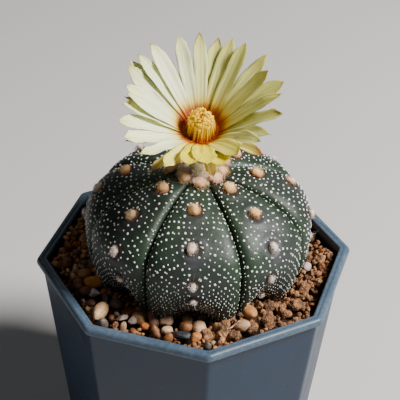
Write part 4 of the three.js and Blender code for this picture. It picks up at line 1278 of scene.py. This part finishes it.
def build_cup():
    """The cup that the petals stand in, with its fluted red lining."""
    fine, steps = resampled((CUP_OUTSIDE + CUP_LINING)[1:-1], 60)
    azimuth = turn_steps(8 * FLUTES)
    split = len(CUP_OUTSIDE) - 1
    lining = smoothstep(split - 0.5, split + 0.5, steps)
    flute = 0.15 * np.cos(FLUTES * azimuth)[None] * (fine[:, 0:1] / 9) * lining[:, None]
    loops = polar(fine[:, 0:1] + flute, azimuth[None], CUP_FOOT + fine[:, 1:2] + 0.4 * flute)
    points, faces = capped(loops, [[0, 0, CUP_FOOT], [0, 0, CUP_FOOT + CUP_LINING[-1][1]]])
    streak = smooth_noise(polar(26.0, azimuth, 0.0), 1.0, seed=61, octaves=2)
    height = fine[:, 1:2] + 1.3 * streak[None]
    red = blend(*tone("throat"), smoothstep(1.0, 5.0, height))
    red = blend(red, tone("throat rim"), smoothstep(5.0, 6.4, height))
    green = np.broadcast_to(tone("cup outside"), red.shape)
    tint = blend(green, red, lining[:, None] + 0 * height)
    tints = np.concatenate([tint.reshape(-1, 3), tone("cup ends")])
    soft = {"Subsurface_Weight": 0.5, "Subsurface_Scale": 0.002}
    look = tinted_look("throat", roughness=0.6, grain=0.5, depth=0.05, shade=0.25, **soft)
    make_piece("flower_cup", moved(points, FLOWER), faces, look, "petal", tint=tints)


STAMENS = 250


def build_stamens():
    random = np.random.default_rng(SEEDS["stamens"])
    count = STAMENS
    order = np.arange(count)
    azimuth = order * math.pi * (3 - math.sqrt(5)) + random.normal(0, 0.12, count)
    share = (order + 0.5) / count
    reach = 1.1 + 3.0 * share**0.62 + random.normal(0, 0.24, count)
    height = 7.2 - 3.4 * (np.abs(reach - 1.0) / 3.4) ** 2.2 + random.normal(0, 0.62, count)
    tips = polar(reach, azimuth, height)
    root_reach = 2.2 + 3.1 * share
    lining = np.array(CUP_LINING[::-1])
    root_height = CUP_FOOT + np.interp(root_reach, lining[:, 0], lining[:, 1]) - 0.1
    roots = polar(root_reach, azimuth - 0.12, root_height)
    bends = polar(random.normal(-0.5, 0.3, count), azimuth, random.normal(0, 0.2, count))
    run = tips - roots - bends
    length = np.linalg.norm(run, axis=1)
    shape = {"sides": 6, "steps": 7, "taper": 0.3}
    points, faces, whose, along = hairs(roots, unit(run), length, HAIR_RADII["filaments"], bends, **shape)
    tint = blend(*tone("filaments"), smoothstep(0.1, 0.55, along))
    tint = tint * random.uniform(0.82, 1.12, count)[whose][:, None]
    look = tinted_look("filament", roughness=0.6, grain=0.5, depth=0.02, shade=0.1, Specular_IOR_Level=0.15)
    make_piece("filaments", moved(points, FLOWER), faces, look, "stamen", ["flower_stamens"], tint=tint)
    templates = []
    for _ in range(5):
        shape, triangles = icosphere(2)
        cleft = 1 - 0.28 * np.exp(-((shape[:, 0] / 0.22) ** 2))
        grains = 1 + 0.1 * random.normal(size=len(shape))
        templates.append((shape * (cleft * grains)[:, None] * (0.4, 0.33, 0.7), triangles))
    lean = unit(tips - roots) + 0.6 * random.normal(size=(count, 3))
    turns = frames(lean, random.uniform(0, FULL_TURN, count))
    size = random.uniform(0.66, 1.02, count)
    places = tips + 0.1 * unit(lean)
    picks = random.integers(0, len(templates), count)
    points, triangles, whose = scatter(templates, picks, places, turns, size[:, None])
    base = blend(*tone("anthers"), random.random(count))
    look = tinted_look("anther", roughness=0.9, grain=0.25, depth=0.06, shade=0.05, Specular_IOR_Level=0.1)
    make_piece("anthers", moved(points, FLOWER), [triangles], look, "stamen", tint=base[whose])


def build_pistil():
    random = np.random.default_rng(SEEDS["pistil"])
    lobes = 8
    azimuth = turn_steps(lobes) + 0.2
    rise = math.radians(52)
    roots = np.concatenate([[[0, 0, -4.2]], polar(0.3, azimuth, 5.4)])
    outward = polar(math.cos(rise), azimuth, math.sin(rise))
    directions = np.concatenate([[[0, 0, 1.0]], outward])
    lengths = np.concatenate([[9.9], random.uniform(2.5, 3.0, lobes)])
    radii = np.concatenate([[0.8], np.full(lobes, 0.42)])
    bends = np.concatenate([[[0, 0, 0]], polar(0.55, azimuth, -0.5)])
    shape = {"sides": 14, "steps": 16, "taper": 0.35}
    points, faces, whose, share = hairs(roots, directions, lengths, radii, bends, **shape)
    papillae = 1 + 0.12 * random.normal(size=len(points))
    middle = roots[whose] + directions[whose] * (lengths[whose] * share)[:, None]
    middle = middle + bends[whose] * (share**2)[:, None]
    points = middle + (points - middle) * np.where(whose > 0, papillae, 1)[:, None]
    tint = blend(*tone("pistil"), share)
    look = tinted_look("pistil", roughness=0.7, grain=0.3, depth=0.05, shade=0.1, Specular_IOR_Level=0.15)
    make_piece("pistil", moved(points, FLOWER), faces, look, "pistil", ["flower_pistil"], tint=tint)


SCALE_ROWS, SCALES_IN_ROW = 6, 7
TUBE_HAIRS = 1300


def build_tube():
    random = np.random.default_rng(SEEDS["tube"])
    rises = (0, 0, 4.1, 8, 12, 16.5, TUBE_TOP - TUBE_FOOT, TUBE_TOP - TUBE_FOOT)
    radii = (0.02, 3.0, 3.3, 3.4, 3.5, 3.95, 4.5, 0.02)
    fine, _ = resampled(np.column_stack([radii, TUBE_FOOT + np.array(rises)]), 50)
    azimuth = turn_steps(60)
    ribbing = 0.14 * np.cos(12 * azimuth)[None] * (fine[:, 0:1] > 1)
    loops = polar(fine[:, 0:1] + ribbing, azimuth[None], fine[:, 1:2])
    parts = [capped(loops, [[0, 0, TUBE_FOOT], [0, 0, TUBE_TOP]])]
    tints = [np.broadcast_to(tone("tube"), parts[0][0].shape)]
    for row in range(SCALE_ROWS):
        share = (row + 0.1) / SCALE_ROWS
        for step in range(SCALES_IN_ROW):
            turn = 2 * math.pi * (step + 0.5 * (row % 2)) / SCALES_IN_ROW
            turn = turn + 0.12 * row + random.normal(0, 0.05)
            shape, groups, along = tube_scale(turn, share, random)
            parts.append((shape, groups))
            tint = blend(*tone("scales"), smoothstep(0.1, 0.6, along))
            tints.append(blend(tint, tone("scale tips"), smoothstep(0.78, 1.0, along)))
    points, faces = joined(parts)
    look = tinted_look("tube_green", roughness=0.65, grain=0.7, depth=0.06, shade=0.25)
    tint, points = np.concatenate(tints), moved(points, FLOWER)
    make_piece("flower_tube_scales", points, faces, look, "flower_green", ["flower_tube"], tint=tint)
    build_tube_wool(random)


def tube_scale(turn, share, random):
    """One pointed scale of the flower's tube, thin and a little hollow."""
    along = np.linspace(0, 1, 13)
    across = np.linspace(-1, 1, 8)
    foot = TUBE_FOOT + (TUBE_TOP - TUBE_FOOT) * share + 0.3
    start = 3.0 + 1.4 * share
    lean = math.radians(10 + 16 * share + random.normal(0, 3))
    length = random.uniform(6.8, 8.4)
    half = 1.15 * (0.75 + 0.45 * np.sin(np.pi * along) ** 0.8) * (1 - along**2.2) + 0.03
    out = start - 0.4 + math.sin(lean) * along * length + random.uniform(0.2, 1.0) * along**2
    up = foot + math.cos(lean) * along * length
    side = across[None] * half[:, None]
    hollow = -0.25 * across[None] ** 2 * half[:, None]
    sheets = []
    for offset in (0.16, -0.16):
        thin = offset * (1 - 0.6 * across[None] ** 2) * (1 - 0.5 * along[:, None])
        sheets.append(np.stack([out[:, None] + hollow + thin, side, up[:, None] + 0 * side], axis=-1))
    loops = np.concatenate([sheets[0], sheets[1][:, ::-1]], axis=1)
    points, faces = capped(loops, [loops[0].mean(axis=0), loops[-1].mean(axis=0) + (0.1, 0, 0.5)])
    shares = np.concatenate([np.repeat(along, loops.shape[1]), [0.0, 1.0]])
    return turned_about_axis(points, turn), faces, shares


def build_tube_wool(random):
    """Long soft wool between the scales."""
    count = TUBE_HAIRS
    azimuth = random.uniform(0, 2 * np.pi, count)
    share = 0.75 * random.random(count) ** 1.4
    height = TUBE_FOOT + (TUBE_TOP - TUBE_FOOT) * share
    roots = polar(3.2 + 1.3 * share, azimuth, height)
    lift = random.uniform(0.3, 2.2, count)
    direction = unit(polar(1.0, azimuth + random.normal(0, 0.5, count), lift))
    length = random.uniform(1.4, 3.6, count)
    curl = random.normal(size=(count, 3)) * 0.8
    points, faces, whose, _ = hairs(roots, direction, length, HAIR_RADII["tube"], curl, steps=4)
    pink = blend(*tone("tube wool"), random.random(count))
    look = tinted_look("tube_wool", grain=0.6, depth=0.02, shade=0.08)
    make_piece("tube_wool", moved(points, FLOWER), faces, look, "wool", tint=pink[whose])


# ---------------------------------------------------------------- filling
def soil_height(x, y):
    return POT_HEIGHT - SOIL_DEPTH + SOIL_SLOPE[0] * x + SOIL_SLOPE[1] * y


# Heaps beside the plant: azimuth of the middle, width in degrees, height.
HEAPS = ((165, 40, 2.6), (-143, 30, 1.8), (-75, 30, 2.6), (-40, 15, 3.2), (-22, 34, 3.2), (60, 60, 0.8))
GRIT_OVER_BED = 2.2
RISE_AT_WALL = 3.2


def grit_top(x, y):
    """Level that the grains reach: heaped beside the plant and along the wall."""
    dx, dy = x - PLANT_AXIS[0], y - PLANT_AXIS[1]
    gap = np.hypot(dx, dy)
    azimuth = np.degrees(np.arctan2(dy, dx))
    near = smoothstep(46, 33, gap)
    heap = 0.0
    for middle, width, height in HEAPS:
        away = (azimuth - middle + 180) % 360 - 180
        heap = heap + height * np.exp(-((away / width) ** 2))
    flats = np.maximum(np.maximum(np.abs(x), np.abs(y)), math.sqrt(0.5) * (np.abs(x) + np.abs(y)))
    at_wall = smoothstep(34, 46, flats)
    return soil_height(x, y) + GRIT_OVER_BED + near * heap + RISE_AT_WALL * at_wall


BODY_HEIGHTS = np.linspace(BODY_FOOT + 1.2, WIDEST_HEIGHT, 60)
BODY_TURNS = 720


def body_radii():
    """Distance of the skin from the axis, for azimuths all round (rows) at BODY_HEIGHTS."""
    rib, share = rib_at(turn_steps(BODY_TURNS))
    levels = np.linspace(-0.97, 0, 160)
    point, _ = plain_body(levels[:, None], rib[None], share[None])
    radius = np.hypot(point[..., 0], point[..., 1])
    return np.array([np.interp(BODY_HEIGHTS, point[:, i, 2], radius[:, i]) for i in range(BODY_TURNS)])


BODY_RADII = body_radii()


def body_radius(height, azimuth):
    """Distance of the skin from the axis at a height and an azimuth in radians."""
    turn = np.round(np.asarray(azimuth) / (2 * np.pi) * BODY_TURNS).astype(int) % BODY_TURNS
    step = BODY_HEIGHTS[1] - BODY_HEIGHTS[0]
    at = np.clip((np.asarray(height) - BODY_HEIGHTS[0]) / step, 0, len(BODY_HEIGHTS) - 1.001)
    low = at.astype(int)
    return BODY_RADII[turn, low] * (1 - at + low) + BODY_RADII[turn, low + 1] * (at - low)


WALL_GAP, HOLE_GAP, ROOT_GAP = 0.4, 0.5, 0.9
HOLE_HEIGHTS = (85.8, 85.2)  # where the hole's wall ends, just above the body's foot


def build_filling():
    """The bed under the grains, with the plain hole that the plant stands in."""
    azimuth = turn_steps(240)
    slant = np.abs((np.degrees(azimuth) + 22.5) % 45 - 22.5)
    reach = 1 / np.cos(np.radians(slant))

    def wall_ring(height):
        return polar((wall_half(height) - WALL_THICKNESS - WALL_GAP) * reach, azimuth, height)

    def hole_ring(height):
        return polar(body_radius(height, azimuth) + HOLE_GAP, azimuth, height) + PLANT_AXIS

    edge_height = soil_height(0, 0) - 1.5
    lowest = FLOOR_THICKNESS + WALL_GAP
    rings = [wall_ring(height) for height in (lowest, 30.0, 60.0, edge_height - 2)]
    outer, inner = wall_ring(edge_height), hole_ring(edge_height)
    for share in np.linspace(0, 1, 36):
        ring = outer * (1 - share) + inner * share
        lumps = 0.9 * smooth_noise(ring, 3.2, seed=71, octaves=3) * (1 - share) ** 0.3
        ring[:, 2] = soil_height(ring[:, 0], ring[:, 1]) - 2.2 + lumps
        rings.append(ring)
    rings += [hole_ring(height) for height in HOLE_HEIGHTS]
    for radius, depth in ROOT:
        rings.append(polar(radius + ROOT_GAP, azimuth, BODY_FOOT - depth + 1.2 * (depth < 10)) + PLANT_AXIS)
    rings.append(polar(ROOT[-1][0] + ROOT_GAP, azimuth, BODY_FOOT - ROOT[-1][1] - 0.6) + PLANT_AXIS)
    ends = [(0, 0, lowest), rings[-1].mean(axis=0)]
    points, faces = capped(np.array(rings), ends)
    speckle = smooth_noise(points[:-2], 1.6, seed=73, octaves=3)
    tint = blend(*tone("bed"), smoothstep(-0.6, 0.9, speckle))
    tints = np.concatenate([tint, np.broadcast_to(tone("bed ends"), (2, 3))])
    look = tinted_look("grit_bed", grain=0.8, depth=0.3, shade=0.5)
    make_piece("filling_bed", points, faces, look, "grit", ["soil"], tint=tints)


# Stones that stand out: x, y, length, width, height, azimuth, colour, roundness (1 smooth, 0 angular).
FEATURE_STONES = (
    (-30, -28, 7.4, 4.8, 4.6, 20, (214, 140, 36), 1.0),
    (-27.5, -33.5, 6.8, 4.4, 4.6, -25, (206, 196, 194), 0.0),
    (-21.5, -43.2, 8.6, 4.9, 5.4, 84, (212, 172, 126), 0.9),
    (-18.5, -35.5, 5, 4.8, 4.2, 0, (124, 92, 78), 1.0),
    (-19.8, -26.5, 5.2, 4.4, 4, 50, (158, 88, 34), 0.9),
    (-35, -24.5, 5.4, 5, 4.2, 10, (168, 122, 78), 0.6),
    (-43, -21.5, 5.2, 4, 3.8, 70, (120, 74, 42), 0.9),
    (-34.5, -31.5, 5.8, 4.6, 4.2, -40, (116, 68, 38), 0.6),
    (-12.5, -39.5, 5.6, 4, 3.8, 30, (150, 76, 26), 0.8),
    (-7.5, -41, 5.8, 5, 4.6, 15, (190, 146, 98), 0.2),
    (-3.5, -37.5, 7.6, 4.2, 4, 110, (166, 116, 86), 0.8),
    (1.9, -39, 6.8, 5, 4.8, 95, (190, 156, 124), 0.15),
    (4.9, -32.5, 7.4, 5, 4, 20, (178, 108, 40), 0.9),
    (9.9, -31, 5, 4.4, 4, 80, (136, 84, 48), 0.5),
    (8.9, -35.5, 5.2, 4.2, 4, -50, (150, 116, 76), 0.9),
    (9.6, -40, 5, 4.4, 4, 0, (138, 88, 52), 0.5),
    (14, -38.5, 7.6, 5.0, 4.8, 112, (204, 168, 128), 0.8),
    (9.4, -45.2, 8.4, 4.2, 3.4, 4, (46, 48, 52), 0.2),
    (29, -27, 7.2, 4.8, 4.6, -45, (188, 128, 70), 0.9),
    (28.5, -33.5, 6.2, 4.8, 4.4, 10, (190, 152, 116), 0.9),
    (41, 11, 4.6, 4, 3.8, 80, (196, 180, 172), 0.8),
    (13.7, -32.3, 5, 3, 3, 40, (120, 102, 104), 0.8),
    (-13.2, -43.4, 5, 4, 3.6, 10, (178, 160, 146), 0.0),
    (-9.1, -43.9, 4.6, 3.6, 3.4, 60, (160, 146, 136), 0.0),
    (-4.1, -45.1, 3.6, 3, 3, 0, (176, 104, 40), 0.8),
    (3.9, -44.4, 4.4, 3.4, 3.2, 20, (196, 160, 124), 0.5),
    (14.6, -44.2, 4.5, 3.6, 3.4, 70, (190, 124, 66), 0.6),
    (-30.7, -34.1, 4.6, 3.6, 3.4, 20, (120, 76, 46), 0.7),
)
# Lumps of baked clay that stand out: x, y, radius.
FEATURE_LUMPS = (
    (22, -30.5, 3.5), (22.5, -37, 3.3), (17.8, -41.8, 2.8), (31.5, -33, 2.9), (36, -27, 3.0),
    (40, -20, 3.1), (34.5, -20.5, 2.8), (44, -13, 2.9), (43.5, -4, 3.0), (27, -38.5, 2.8),
)


def clay_template(random, subdivisions):
    """A crumbly clay grain: a lump of small rounded crumbs."""
    points, faces = icosphere(subdivisions)
    swell = np.zeros(len(points))
    for count, spread, height in ((20, 0.15, 1.0), (80, 0.04, 0.4)):
        crumbs = unit(random.normal(size=(count, 3)))
        heights = random.uniform(0.5, 1.0, count)
        gap = 1 - points @ crumbs.T
        swell += height * np.max(heights * np.clip(1 - gap / spread, 0, 1) ** 0.6, axis=1)
    body = 0.52 + 0.42 * swell + 0.17 * smooth_noise(points, 0.7, drawn_seed(random), octaves=2)
    return points * body[:, None] * random.uniform(0.76, 1.22, 3), faces


def pebble_template(random, roundness, subdivisions=3):
    """A pebble, either worn smooth or broken with flat faces."""
    points, faces = icosphere(subdivisions)
    faces_cut = 11
    cuts = unit(random.normal(size=(faces_cut, 3)))
    depth = random.uniform(0.62, 0.86, faces_cut) - 0.2 * (roundness < 0.05)
    reach = np.min(depth / np.maximum(points @ cuts.T, 1e-3), axis=1)
    angular = np.minimum(1.0, reach)
    smooth = 1 + 0.16 * smooth_noise(points, 0.9, drawn_seed(random))
    rough = 1 + 0.05 * smooth_noise(points, 0.3, drawn_seed(random), octaves=2) * (1.2 - roundness)
    return points * ((roundness * smooth + (1 - roundness) * angular) * rough)[:, None], faces


def grain_clear(x, y, z, radius):
    """True where a grain touches neither the pot's wall nor the plant."""
    half = wall_half(z) - WALL_THICKNESS - 0.3
    slant = math.sqrt(0.5)
    reach = max(abs(x), abs(y), slant * abs(x + y), slant * abs(x - y))
    if reach + radius * 0.92 > half:
        return False
    dx, dy = x - PLANT_AXIS[0], y - PLANT_AXIS[1]
    gap, azimuth = math.hypot(dx, dy), math.atan2(dy, dx)
    shares = np.array((-0.6, 0.0, 0.5, 0.85))
    sides = radius * np.sqrt(1 - shares**2)
    return bool(np.all(gap - sides * 0.9 > body_radius(z + shares * radius, azimuth) + 0.1))


DROPS = 19000
LARGE_DROPS = 2600  # the first ones, which are large where they fall on clay or in front
MOST_GRAINS = 1500
GRAIN_RADII = (2.6, 2.0, 1.4, 0.9)
GRAIN_SHARES = (0.22, 0.28, 0.27, 0.23)


def pile_grains(random):
    """Drops grains one by one on the bed and on each other: x, y, z, radius and kind of each."""
    settled = []
    for x, y, length, width, height, *_ in FEATURE_STONES:
        settled.append((x, y, grit_top(x, y) + 0.1 * height, 0.25 * (length + width), -1))
    stones = len(settled)
    for x, y, radius in FEATURE_LUMPS:
        settled.append((x, y, grit_top(x, y) + 0.1 * radius, radius, 0))
    for drop in range(DROPS):
        x, y = random.uniform(-50, 50, 2)
        wave = float(smooth_noise(np.array([x, y, 0.0]), 9.0, seed=81))
        right = smoothstep(12, 22, x + 0.35 * y + 4 * wave)
        behind = smoothstep(-24, 0, y)
        clay = random.random() < 0.12 + 0.85 * max(float(right), 0.65 * float(behind))
        radius = random.choice(GRAIN_RADII, p=GRAIN_SHARES) * random.uniform(0.86, 1.14)
        if drop < LARGE_DROPS and (clay or y < -18):
            radius = random.uniform(1.9, 2.9)
        known = np.array(settled)
        gap = np.hypot(known[:, 0] - x, known[:, 1] - y)
        reach = 0.9 * (known[:, 3] + radius)
        under = gap < reach
        z = soil_height(x, y) - 2.0 + 0.45 * radius
        if under.any():
            rest = known[under, 2] + 0.84 * np.sqrt(reach[under] ** 2 - gap[under] ** 2)
            z = max(z, rest.max())
        if z + 0.5 * radius > grit_top(x, y) + 1.0 or not grain_clear(x, y, z, radius):
            continue
        settled.append((x, y, z, radius, 0 if clay else 1))
        if len(settled) > MOST_GRAINS + stones:
            break
    return np.array(settled[stones:])


def painted_light_on_left(points):
    """Painted light: how much lighter the grains are painted, most on the left where the plant casts its
    shadow over them.
    """
    return 1 + 1.05 * smoothstep(-8, -32, points[:, 0:1])


CLAY_SIZES = ((1.75, 4.0, 3, 2), (1.0, 1.75, 3, 2), (0.0, 1.0, 2, 1))  # radii from, to, subdivisions, pieces
CLAY_SPREAD = 1.1  # how much larger a clay grain is than the ball that settles
RED_CLAY_SHARE = 0.1


def build_grains():
    random = np.random.default_rng(SEEDS["grains"])
    grains = pile_grains(random)
    clay = grains[grains[:, 4] == 0]
    # Painted shade: the clay's strong dark mottle and its crumbs' darker crevices stand for shade in its
    # hollows.
    look = tinted_look("clay", grain=0.32, depth=0.3, shade=0.6, crumbs=0.8)
    for low, high, subdivisions, pieces in CLAY_SIZES:
        sized = clay[(clay[:, 3] > low) & (clay[:, 3] <= high)]
        templates = [clay_template(random, subdivisions) for _ in range(14)]
        for part_number in range(pieces):
            part = sized[part_number::pieces]
            count = len(part)
            turns = any_turns(random, count)
            size = part[:, 3:4] * CLAY_SPREAD
            picks = random.integers(0, len(templates), count)
            points, faces, whose = scatter(templates, picks, part[:, :3], turns, size)
            base = blend(*tone("clay"), random.random(count))
            base[random.random(count) < RED_CLAY_SHARE] = tone("red clay")
            # Painted shade: each grain is darker where its surface dips in towards its middle, between its
            # crumbs.
            out = np.linalg.norm(points - part[whose, :3], axis=1) / size[whose, 0]
            # Painted light: clay grains on the left are painted lighter.
            tint = base[whose] * (0.4 + 0.85 * smoothstep(0.58, 1.05, out))[:, None] * painted_light_on_left(points)
            label = f"clay_grains_{subdivisions}_{low:.0f}_{part_number}"
            make_piece(label, points, [faces], look, "grit", tint=tint)
    build_pebbles(grains[grains[:, 4] == 1], random)


PEBBLE_COLOURS = (
    (148, 96, 54), (166, 112, 66), (124, 78, 46), (186, 140, 98), (154, 90, 42), (112, 82, 60),
    (180, 146, 112), (132, 112, 98), (98, 66, 44), (168, 118, 78), (90, 78, 70), (170, 104, 48),
)
PEBBLE_STRETCHES = ((0.95, 1.4), (0.75, 1.05), (0.65, 0.95))  # least and most, along each axis
PEBBLE_ROUNDNESS = (0.8, 0.45, 0.65, 0.2, 0.04, 0.3, 0.35, 0.85)


def build_pebbles(stones, random):
    """Pebbles from the pile, then the stones that stand out."""
    templates = [pebble_template(random, roundness) for roundness in PEBBLE_ROUNDNESS]
    look = pebble_look()
    for part_number in range(2):
        part = stones[part_number::2]
        count = len(part)
        turns = any_turns(random, count)
        stretch = np.column_stack([random.uniform(*span, count) for span in PEBBLE_STRETCHES])
        picks = random.integers(0, len(templates), count)
        points, faces, whose = scatter(templates, picks, part[:, :3], turns, part[:, 3:4] * stretch)
        palette = srgb(PEBBLE_COLOURS)
        tint = palette[random.integers(0, len(palette), count)] * random.uniform(0.75, 1.15, count)[:, None]
        # Painted light: pebbles on the left are painted lighter.
        tint = tint[whose] * painted_light_on_left(points)
        make_piece(f"pebbles_{part_number}", points, [faces], look, "grit", tint=tint)
    parts, tints = [], []
    for x, y, length, width, height, azimuth, colour, roundness in FEATURE_STONES:
        shape, triangles = pebble_template(random, roundness, 4)
        turn = Matrix.Rotation(math.radians(azimuth), 3, "Z")
        turn = turn @ Matrix.Rotation(random.normal(0, 0.12), 3, "Y")
        sized = shape * (length / 2, width / 2, height / 2)
        place = np.array((x, y, grit_top(x, y) + 0.1 * height))
        parts.append((sized @ np.array(turn).T + place, [triangles]))
        tints.append(np.broadcast_to(srgb(colour), shape.shape))
    points, faces = joined(parts)
    # Painted light: marked stones on the left are painted a little lighter.
    tint = np.concatenate(tints) * painted_light_on_left(points) ** 0.4
    make_piece("marked_stones", points, faces, look, "grit", tint=tint)


# A dried strand on the grains, as points of its middle line.
STRAND = ((27.6, -33.4), (27.0, -34.6), (25.6, -36.0), (24.9, -37.9), (24.3, -39.2))


def build_strand():
    """A dried pinkish strand that lies on the grains."""
    flat, share = resampled(STRAND, 40)
    height = grit_top(*flat.T) + 2.1 + 0.5 * np.sin(share * 2.2)
    line = np.column_stack([flat, height])
    turn = frames(unit(np.gradient(line, axis=0)))
    sides = 6
    angle = turn_steps(sides)[None, :, None]
    narrowing = np.minimum(1, np.minimum(share, share[::-1]) * 2.5 + 0.2)
    girth = 0.32 * (0.75 + 0.35 * np.sin(share * 3.1 + 1)) * narrowing
    ring = np.cos(angle) * turn[:, None, :, 0] + 0.5 * np.sin(angle) * turn[:, None, :, 1]
    points = (line[:, None] + girth[:, None, None] * ring).reshape(-1, 3)
    count = len(line)
    ends = np.array([np.arange(sides)[::-1], (count - 1) * sides + np.arange(sides)])
    faces = [grid_faces(count, sides), ends]
    tint = blend(*tone("strand"), (np.repeat(share, sides) * 1.7) % 1)
    look = tinted_look("strand", roughness=0.7, grain=0.5, depth=0.04, shade=0.3)
    make_piece("dried_strand", points, faces, look, "wool", tint=tint)


# ---------------------------------------------------------------- studio
# The camera looks from beyond -Y, turned towards +X, at the middle of the rim, shifted aside and above.
CAMERA_AZIMUTH = 16.63
CAMERA_ELEVATION = 35.29
CAMERA_ROLL = 1.56
CAMERA_DISTANCE = 523.5
CAMERA_ASIDE = 2.0
CAMERA_ABOVE = 19.6
FOCAL_PIXELS = 1386.6
IMAGE_WIDTH = 400
SENSOR = 36.0
CLIP_NEAR, CLIP_FAR = 0.01, 20


def build_camera():
    azimuth, elevation = math.radians(CAMERA_AZIMUTH), math.radians(CAMERA_ELEVATION)
    roll = math.radians(CAMERA_ROLL)
    level = math.cos(elevation)
    back = Vector((math.sin(azimuth) * level, -math.cos(azimuth) * level, math.sin(elevation)))
    right = Vector((math.cos(azimuth), math.sin(azimuth), 0))
    up = back.cross(right)
    aside = right * math.cos(roll) + up * math.sin(roll)
    above = up * math.cos(roll) - right * math.sin(roll)
    place = Vector((0, 0, POT_HEIGHT)) + back * CAMERA_DISTANCE
    place = place + aside * CAMERA_ASIDE + above * CAMERA_ABOVE
    data = bpy.data.cameras.new("camera")
    data.sensor_fit = "HORIZONTAL"
    data.sensor_width = SENSOR
    data.lens = SENSOR * FOCAL_PIXELS / IMAGE_WIDTH
    data.clip_start, data.clip_end = CLIP_NEAR, CLIP_FAR
    camera = bpy.data.objects.new("camera", data)
    camera.matrix_world = Matrix((
        (aside.x, above.x, back.x, place.x * MM),
        (aside.y, above.y, back.y, place.y * MM),
        (aside.z, above.z, back.z, place.z * MM),
        (0, 0, 0, 1),
    ))
    bpy.context.scene.collection.objects.link(camera)
    bpy.context.scene.camera = camera


# Soft square lights: name, azimuth, elevation, distance and size in metres, watts, colour.
LIGHTS = (
    ("key", 2, 46, 1.1, 0.34, 33, (1.0, 0.98, 0.95)),
    ("fill", -112, 50, 1.6, 1.0, 1.5, (0.92, 0.96, 1.0)),
    ("rim", 120, 35, 1.4, 0.7, 0.9, (1, 1, 1)),
)
LIGHT_TARGET = (0, 0, 0.11)
SKY_COLOUR = (0.86, 0.9, 1.0, 1)
SKY_STRENGTH = 0.02
FLOOR_REACH = 3.0


def area_light(name, azimuth, elevation, distance, size, power, colour):
    """A square soft light that looks at the plant. Azimuth 0 is +X, 90 is +Y."""
    data = bpy.data.lights.new(name, "AREA")
    data.shape = "SQUARE"
    data.size = size
    data.energy = power
    data.color = colour
    lamp = bpy.data.objects.new(name, data)
    turn, rise = math.radians(azimuth), math.radians(elevation)
    way = Vector((math.cos(turn) * math.cos(rise), math.sin(turn) * math.cos(rise), math.sin(rise)))
    lamp.location = Vector(LIGHT_TARGET) + way * distance
    lamp.rotation_euler = way.to_track_quat("Z", "Y").to_euler()
    bpy.context.scene.collection.objects.link(lamp)


def build_studio():
    for light in LIGHTS:
        area_light(*light)
    world = bpy.data.worlds.new("studio")
    world.use_nodes = True
    background = world.node_tree.nodes["Background"].inputs
    background["Color"].default_value = SKY_COLOUR
    background["Strength"].default_value = SKY_STRENGTH
    bpy.context.scene.world = world
    mesh = bpy.data.meshes.new("floor")
    corners = [(FLOOR_REACH * x, FLOOR_REACH * y, 0) for x, y in ((-1, -1), (1, -1), (1, 1), (-1, 1))]
    mesh.from_pydata(corners, [], [(0, 1, 2, 3)])
    mesh.materials.append(floor_look())
    floor = bpy.data.objects.new("floor", mesh)
    bpy.context.scene.collection.objects.link(floor)


# ---------------------------------------------------------------- the object
build_camera()
build_studio()
build_pot()
build_filling()
build_grains()
build_strand()
build_skin()
build_flecks()
build_areoles()
build_crown()
build_tube()
build_cup()
build_petals()
build_stamens()
build_pistil()
